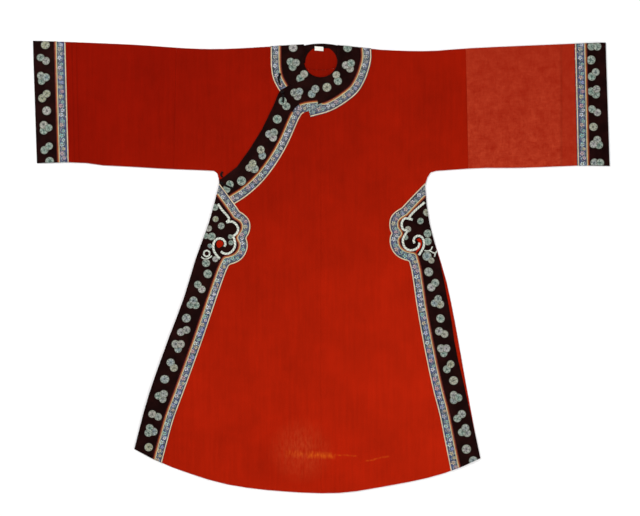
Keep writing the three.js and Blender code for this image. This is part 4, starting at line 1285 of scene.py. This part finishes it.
class ROBE_OT_ribbons(bpy.types.Operator):
    """Sews the flowered ribbons inside the borders, with rows of piping along their edges."""

    bl_idname = "robe.ribbons"
    bl_label = "Flowered Ribbons"

    def execute(self, context):
        step = context.scene.robe_cloth.trim_step
        for row in RIBBONS:
            half = row["half"] * MM
            line = Line(row["line"])
            sheet = skin(row, step, step)
            area = sum(f.calc_area() for f in sheet.faces)
            self.piping(row, edges_beside(sheet, line, half), half, context.scene.robe_trim.piping)
            self.write_map(sheet, line)
            piece = drawn_piece(f"woven_{row['node']}", sheet, "ribbon")
            finish_sheet(piece, row, trim_wall(row))
        return {"FINISHED"}

    def piping(self, row, stretches, half, share):
        """Lays the cords along a ribbon's edges, flatter on the back."""
        behind = row["node"].endswith(("back", "back_right", "back_left"))
        for cord in PIPING:
            sheet = bmesh.new()
            width = cord["half"] * MM * share
            height, sink = (0.0004, -0.0002) if behind else (min(width, 0.0012), -0.0003)
            for side, chain, feet in stretches:
                if side == cord["side"] * row["border"]:
                    points, normals = shifted(chain, feet, half + cord["shift"] * MM, sink)
                    sweep(sheet, *even(points, normals, 0.004), width, height, 8)
            drawn_piece(f"{cord['finish']}_piping_{row['node']}", sheet, cord["finish"])

    def write_map(self, sheet, line):
        """Gives a ribbon its map: how far along its line and aside from it each place is."""
        sheet.verts.index_update()
        along, aside, _ = line.locate(sheet.verts)
        layer = sheet.loops.layers.uv.new("along")
        for face in sheet.faces:
            for loop in face.loops:
                loop[layer].uv = along[loop.vert.index], aside[loop.vert.index]


class ROBE_OT_braids(bpy.types.Operator):
    """Couches the white braid of the cloud heads."""

    bl_idname = "robe.braids"
    bl_label = "White Braid"

    def execute(self, context):
        width = context.scene.robe_trim.braid
        for name, stretches in BRAIDS.items():
            sheet = bmesh.new()
            for rows in stretches:
                points = self.laid(smooth_line(rows), 0.0018)
                sweep(sheet, *even(points, upright(points), 0.003, ease=0), width, 0.0011, 12)
            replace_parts(drawn_piece(f"couched_{name}", sheet, "braid"), name)
        # The small ring of braid beside the right scroll
        turns = np.linspace(0, 2 * math.pi, 40)
        circle = np.column_stack([np.cos(turns), np.sin(turns)]) * RING_RIGHT["radius"]
        points = self.laid((circle + (RING_RIGHT["x"], RING_RIGHT["y"])) * MM, 0.0019)
        sheet = bmesh.new()
        sweep(sheet, points, upright(points), width * 0.75, 0.001, 10)
        drawn_piece("couched_ring_right", sheet, "braid")
        # The short strands, each a thin cord laid on the border
        sheet = bmesh.new()
        for rows in STRANDS:
            points = self.laid(smooth_line(rows), 0.0014)
            sweep(sheet, points, upright(points), 0.0019, 0.0008, 8)
        drawn_piece("couched_strands", sheet, "braid")
        for name, outline in RED_PATCHES.items():
            self.patch(name, outline)
        return {"FINISHED"}

    def laid(self, flat, raised):
        """A line's places laid on the outer front, and raised off it."""
        return np.column_stack([flat, lay().on("outer", flat, raised)])

    def patch(self, name, outline):
        """A patch of red satin stitch, a little domed."""
        sheet = bmesh.new()
        rim = [sheet.verts.new((row["x"] * MM, row["y"] * MM, 0)) for row in outline]
        top = sheet.faces.new(rim)
        bmesh.ops.inset_individual(sheet, faces=[top], thickness=0.0012)
        bmesh.ops.triangulate(sheet, faces=[top])
        for vert in sheet.verts:
            raised = 0.0011 if vert in rim else 0.0018
            vert.co.z = float(lay().on("outer", np.array([vert.co[:2]]), raised)[0])
        sheet.normal_update()
        if sum(f.normal.z for f in sheet.faces) < 0:
            bmesh.ops.reverse_faces(sheet, faces=sheet.faces)
        smooth_shading(drawn_piece(name, sheet, "silk"), 60)


class ROBE_OT_medallions(bpy.types.Operator):
    """Embroiders the medallions on the borders, in ones, twos and threes."""

    bl_idname = "robe.medallions"
    bl_label = "Embroidered Medallions"

    def execute(self, context):
        trim = context.scene.robe_trim
        master = self.master()
        places = np.array([v.co[:] for v in master.verts])
        faces = [[v.index for v in f.verts] for f in master.faces]
        master.free()
        chance = random.Random(trim.seed)
        for row in MEDALLION_SETS:
            self.embroider(row, places, faces, chance, trim)
        return {"FINISHED"}

    def master(self):
        """One medallion, drawn flat: a circle inset ring by ring, with its relief in z."""
        bpy.ops.object.select_all(action="DESELECT")
        bpy.ops.mesh.primitive_circle_add(vertices=24, radius=1.0, fill_type="NGON")
        disc = bpy.context.object
        shape = bmesh.new()
        shape.from_mesh(disc.data)
        bpy.data.objects.remove(disc)
        shape.faces.ensure_lookup_table()
        top = shape.faces[0]
        for outer, inner in zip(RINGS[:0:-1], RINGS[-2::-1]):
            bmesh.ops.inset_individual(shape, faces=[top], thickness=outer[0] - inner[0])
        bmesh.ops.poke(shape, faces=[top])
        reaches, levels = zip((0, 0.85), *RINGS)
        for vert in shape.verts:
            vert.co.z = float(np.interp(math.hypot(vert.co.x, vert.co.y), reaches, levels))
        rim = [e for e in shape.edges if e.is_boundary]
        dropped = bmesh.ops.extrude_edge_only(shape, edges=rim)["geom"]
        for vert in [g for g in dropped if isinstance(g, bmesh.types.BMVert)]:
            vert.co.z = -0.35
        bmesh.ops.recalc_face_normals(shape, faces=shape.faces)
        bmesh.ops.triangulate(shape, faces=shape.faces)
        return shape

    def embroider(self, row, places, faces, chance, trim):
        """One border's medallions, each a turned copy of the first, lying on the border."""
        verts, rings, tints, rounds = [], [], [], []
        cloth = surface_of(row["border"])
        base = 0.0 if row["border"].startswith("cuff") else 0.0013
        turned_faces = [f[::-1] for f in faces] if row["back"] else faces
        for group in row["rows"]:
            count = group["count"]
            for k in range(count):
                angle = math.radians(group["first"]) + 2 * math.pi * k / count
                reach = 0 if count == 1 else trim.spread * chance.uniform(0.94, 1.06)
                middle = np.array([
                    group["x"] * MM + reach * math.cos(angle), group["y"] * MM + reach * math.sin(angle)
                ])
                turn = chance.uniform(0, 2 * math.pi)
                usual = 1.06 if count == 1 else 0.95
                radius = trim.medallion * group.get("size", usual) * chance.uniform(0.95, 1.04)
                spin = np.array([[math.cos(turn), math.sin(turn)], [-math.sin(turn), math.cos(turn)]])
                squash = np.array([1.0, chance.uniform(0.92, 1.0)])
                tint = group.get("tint", chance.random())
                flat = self.within((places[:, :2] * squash) @ spin * radius + middle, middle, cloth)
                if flat is None:
                    continue
                lifted = places[:, 2] * trim.relief + (count - k) * 0.0003
                z = 0.0003 - lifted * 0.4 if row["back"] else lay().on(row["layer"], flat, base + lifted)
                rings += [[len(verts) + i for i in f] for f in turned_faces]
                verts += [(*p, h) for p, h in zip(flat, z)]
                tints += [tint] * len(places)
                rounds += places[:, :2].tolist()
        mesh = bpy.data.meshes.new(row["name"])
        mesh.from_pydata(verts, [], rings)
        mesh.attributes.new("tint", "FLOAT", "POINT").data.foreach_set("value", tints)
        layer = mesh.uv_layers.new(name="round")
        layer.data.foreach_set("uv", [c for loop in mesh.loops for c in rounds[loop.vertex_index]])
        mesh.shade_smooth()
        new_piece(row["name"], mesh, "medallion")

    def within(self, flat, middle, cloth):
        """A medallion's places drawn in to the border's edge, or none where its middle is off it."""

        def on_cloth(place):
            return cloth.ray_cast(Vector((*place, ABOVE)), DOWN)[0] is not None

        if not on_cloth(middle):
            return None
        kept = flat.copy()
        for i, place in enumerate(flat):
            reach = (place - middle) * 1.04
            if on_cloth(middle + reach):
                continue
            low, high = 0.0, 1.0
            for _ in range(7):
                half = (low + high) / 2
                low, high = (half, high) if on_cloth(middle + reach * half) else (low, half)
            kept[i] = middle + (place - middle) * low * 0.97
        return kept


class ROBE_OT_fasteners(bpy.types.Operator):
    """Ties the two cord fasteners: a doubled loop, a ball knot and its doubled stem."""

    bl_idname = "robe.fasteners"
    bl_label = "Cord Fasteners"

    def execute(self, context):
        trim = context.scene.robe_trim
        for name, parts in FASTENERS.items():
            for part, rows in parts.items():
                self.doubled(f"frog_{name}_{part}", rows, trim.cord)
            self.ball(f"frog_{name}_knot", trim)
        return {"FINISHED"}

    def doubled(self, node, rows, radius):
        """Two cords side by side along a short path, joined round its end."""
        flat = smooth_line(rows)
        runs = unit(np.gradient(flat, axis=0))
        aside = np.column_stack([-runs[:, 1], runs[:, 0]]) * radius * 0.95
        turn = np.linspace(0, math.pi, 9)[1:-1]
        end = flat[-1] + np.outer(np.cos(turn), aside[-1]) + np.outer(np.sin(turn), runs[-1] * radius)
        route = np.vstack([flat + aside, end, (flat - aside)[::-1]])
        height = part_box(node)[0].z + radius * 1.05
        points = np.column_stack([route, np.full(len(route), height)])
        sheet = bmesh.new()
        sweep(sheet, *even(points, upright(points), 0.0012, ease=2), radius, radius, 10)
        self.tied(sheet, node)

    def ball(self, node, trim):
        """A ball knot: one cord wound over a core, crossing itself as a Turk's head does."""
        low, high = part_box(node)
        centre = np.array(((low + high) / 2)[:])
        reach = trim.knot - trim.cord * 0.75
        turns = np.linspace(0, 2 * math.pi, 150)
        tilt, swing = 1.05 * np.sin(turns * 4), turns * 4
        outward = np.column_stack([
            np.cos(tilt) * np.cos(swing), np.cos(tilt) * np.sin(swing), np.sin(tilt),
        ])
        weave = 1 + 0.07 * np.sin(turns * 20)
        sheet = bmesh.new()
        points = centre + outward * (reach * weave)[:, None]
        sweep(sheet, points, outward, trim.cord * 0.8, trim.cord * 0.8, 8)
        core = bmesh.ops.create_icosphere(sheet, subdivisions=3, radius=reach * 0.98)
        bmesh.ops.translate(sheet, verts=core["verts"], vec=Vector(centre))
        self.tied(sheet, node)

    def tied(self, sheet, node):
        """Makes a fastener's mesh a piece in place of its node."""
        piece = drawn_piece(f"corded_{node}", sheet, "cord")
        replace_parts(piece, node)
        smooth_shading(piece, 60)


class ROBE_OT_neck(bpy.types.Operator):
    """Binds the inside of the back neckline and sews the bare label on."""

    bl_idname = "robe.neck"
    bl_label = "Neck Binding and Label"

    INSET = 0.0006  # from a tape's edge to its node's

    def execute(self, context):
        # The label slants a little, and the binding stands up a little between the shoulders
        self.tape("neck_binding", "satin", (24, 3), slant=0.0, rise=0.005)
        self.tape("label", "label", (10, 6), slant=-0.002, rise=0.0)
        self.facing()
        return {"FINISHED"}

    def tape(self, node, finish, cells, slant, rise):
        """A short tape in place of a node: a grid laid over its outline, a little waved."""
        low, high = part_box(node)
        bpy.ops.object.select_all(action="DESELECT")
        bpy.ops.mesh.primitive_grid_add(x_subdivisions=cells[0], y_subdivisions=cells[1], size=1.0)
        grid = bpy.context.object
        mesh = grid.data.copy()
        bpy.data.objects.remove(grid)
        size = high - low
        for vert in mesh.vertices:
            u, v = vert.co.x + 0.5, vert.co.y + 0.5
            deep = size.y - 2 * self.INSET - abs(slant) + rise * (1 - (2 * u - 1) ** 2)
            vert.co = (
                low.x + self.INSET + (size.x - 2 * self.INSET) * u,
                low.y + self.INSET + deep * v + slant * (u - 1),
                high.z - 0.0002 + 0.00018 * math.sin(u * 9.0 + v * 2.0),
            )
        piece = new_piece(f"{finish}_{node}_tape", mesh, finish)
        give_wall(piece, 0.0007, 0.0002)
        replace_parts(piece, node)

    def facing(self):
        """A narrow satin facing that rounds the corners of the neck hole, inside the back."""
        size = {key: value * MM for key, value in FACING.items()}
        middle, radius = np.array([size["x"], size["y"]]), size["radius"]
        verts, faces = [], []
        for i, angle in enumerate(np.linspace(math.pi * 1.01, -math.pi * 0.01, 61)):
            way = np.array([math.cos(angle), math.sin(angle)])
            sides = [size["half_width"] / max(abs(way[0]), 1e-6), size["height"] / max(way[1], 1e-6)]
            reach = max(min(sides), radius + 0.0008)
            verts += [(*(middle + way * radius), 0.00152), (*(middle + way * reach), 0.00152)]
            if i:
                faces.append((2 * i - 1, 2 * i + 1, 2 * i, 2 * i - 2))
        mesh = bpy.data.meshes.new("facing")
        mesh.from_pydata(verts, [], faces)
        piece = new_piece("satin_neck_facing", mesh, "satin")
        give_wall(piece, 0.0002, 0.00005)


class ROBE_OT_stage(bpy.types.Operator):
    """Lays the pale board, hangs the soft lights and sets the camera straight above."""

    bl_idname = "robe.stage"
    bl_label = "Stage, Lights and Camera"

    def execute(self, context):
        scene = context.scene
        bpy.ops.object.select_all(action="DESELECT")
        bpy.ops.mesh.primitive_plane_add(size=16.0, location=(0, 0, -0.0012))
        floor = context.object
        floor.name = "floor"
        floor.data.materials.append(studio_paper())
        world = bpy.data.worlds.new("studio")
        world.use_nodes = True
        background = world.node_tree.nodes["Background"]
        background.inputs["Color"].default_value = (1, 1, 1, 1)
        background.inputs["Strength"].default_value = 0.42
        scene.world = world
        for row in LIGHTS:
            light = bpy.data.lights.new(row["name"], "AREA")
            light.size = row["size"]
            light.energy = row["power"]
            lamp = bpy.data.objects.new(row["name"], light)
            lamp.location = (row["x"], row["y"], row["z"])
            lamp.rotation_euler = (-lamp.location).to_track_quat("-Z", "Y").to_euler()
            scene.collection.objects.link(lamp)
        camera = bpy.data.cameras.new("camera")
        camera.lens = 85.0
        camera.clip_end = 50.0
        eye = bpy.data.objects.new("camera", camera)
        wide = PHOTO["width"] * PHOTO["scale"] * MM
        x, y = PHOTO["middle"]
        eye.location = (x * MM, y * MM, wide * camera.lens / camera.sensor_width)
        scene.collection.objects.link(eye)
        scene.camera = eye
        scene.view_settings.view_transform = "Standard"
        return {"FINISHED"}


OPERATORS = (
    ROBE_OT_stage, ROBE_OT_panels, ROBE_OT_borders, ROBE_OT_ribbons, ROBE_OT_braids,
    ROBE_OT_medallions, ROBE_OT_fasteners, ROBE_OT_neck,
)


class ROBE_PT_robe(bpy.types.Panel):
    """The robe's sizes, colours and pieces."""

    bl_idname = "ROBE_PT_robe"
    bl_label = "Silk Robe"
    bl_space_type = "VIEW_3D"
    bl_region_type = "UI"
    bl_category = "Robe"

    def draw(self, context):
        for name, group in SETTINGS.items():
            box = self.layout.box()
            for setting in group.__annotations__:
                box.prop(getattr(context.scene, name), setting)
        for operator in OPERATORS:
            self.layout.operator(operator.bl_idname)


CLASSES = (*SETTINGS.values(), *OPERATORS, ROBE_PT_robe)


def register():
    for cls in CLASSES:
        bpy.utils.register_class(cls)
    for name, group in SETTINGS.items():
        setattr(bpy.types.Scene, name, PointerProperty(type=group))


def unregister():
    for name in SETTINGS:
        delattr(bpy.types.Scene, name)
    for cls in reversed(CLASSES):
        bpy.utils.unregister_class(cls)


def main():
    """Makes the whole robe."""
    register()
    bpy.ops.robe.stage()
    bpy.ops.robe.panels()
    bpy.ops.robe.borders()
    bpy.ops.robe.ribbons()
    bpy.ops.robe.braids()
    bpy.ops.robe.medallions()
    bpy.ops.robe.fasteners()
    bpy.ops.robe.neck()
    bpy.context.view_layer.update()


if __name__ == "__main__":
    main()
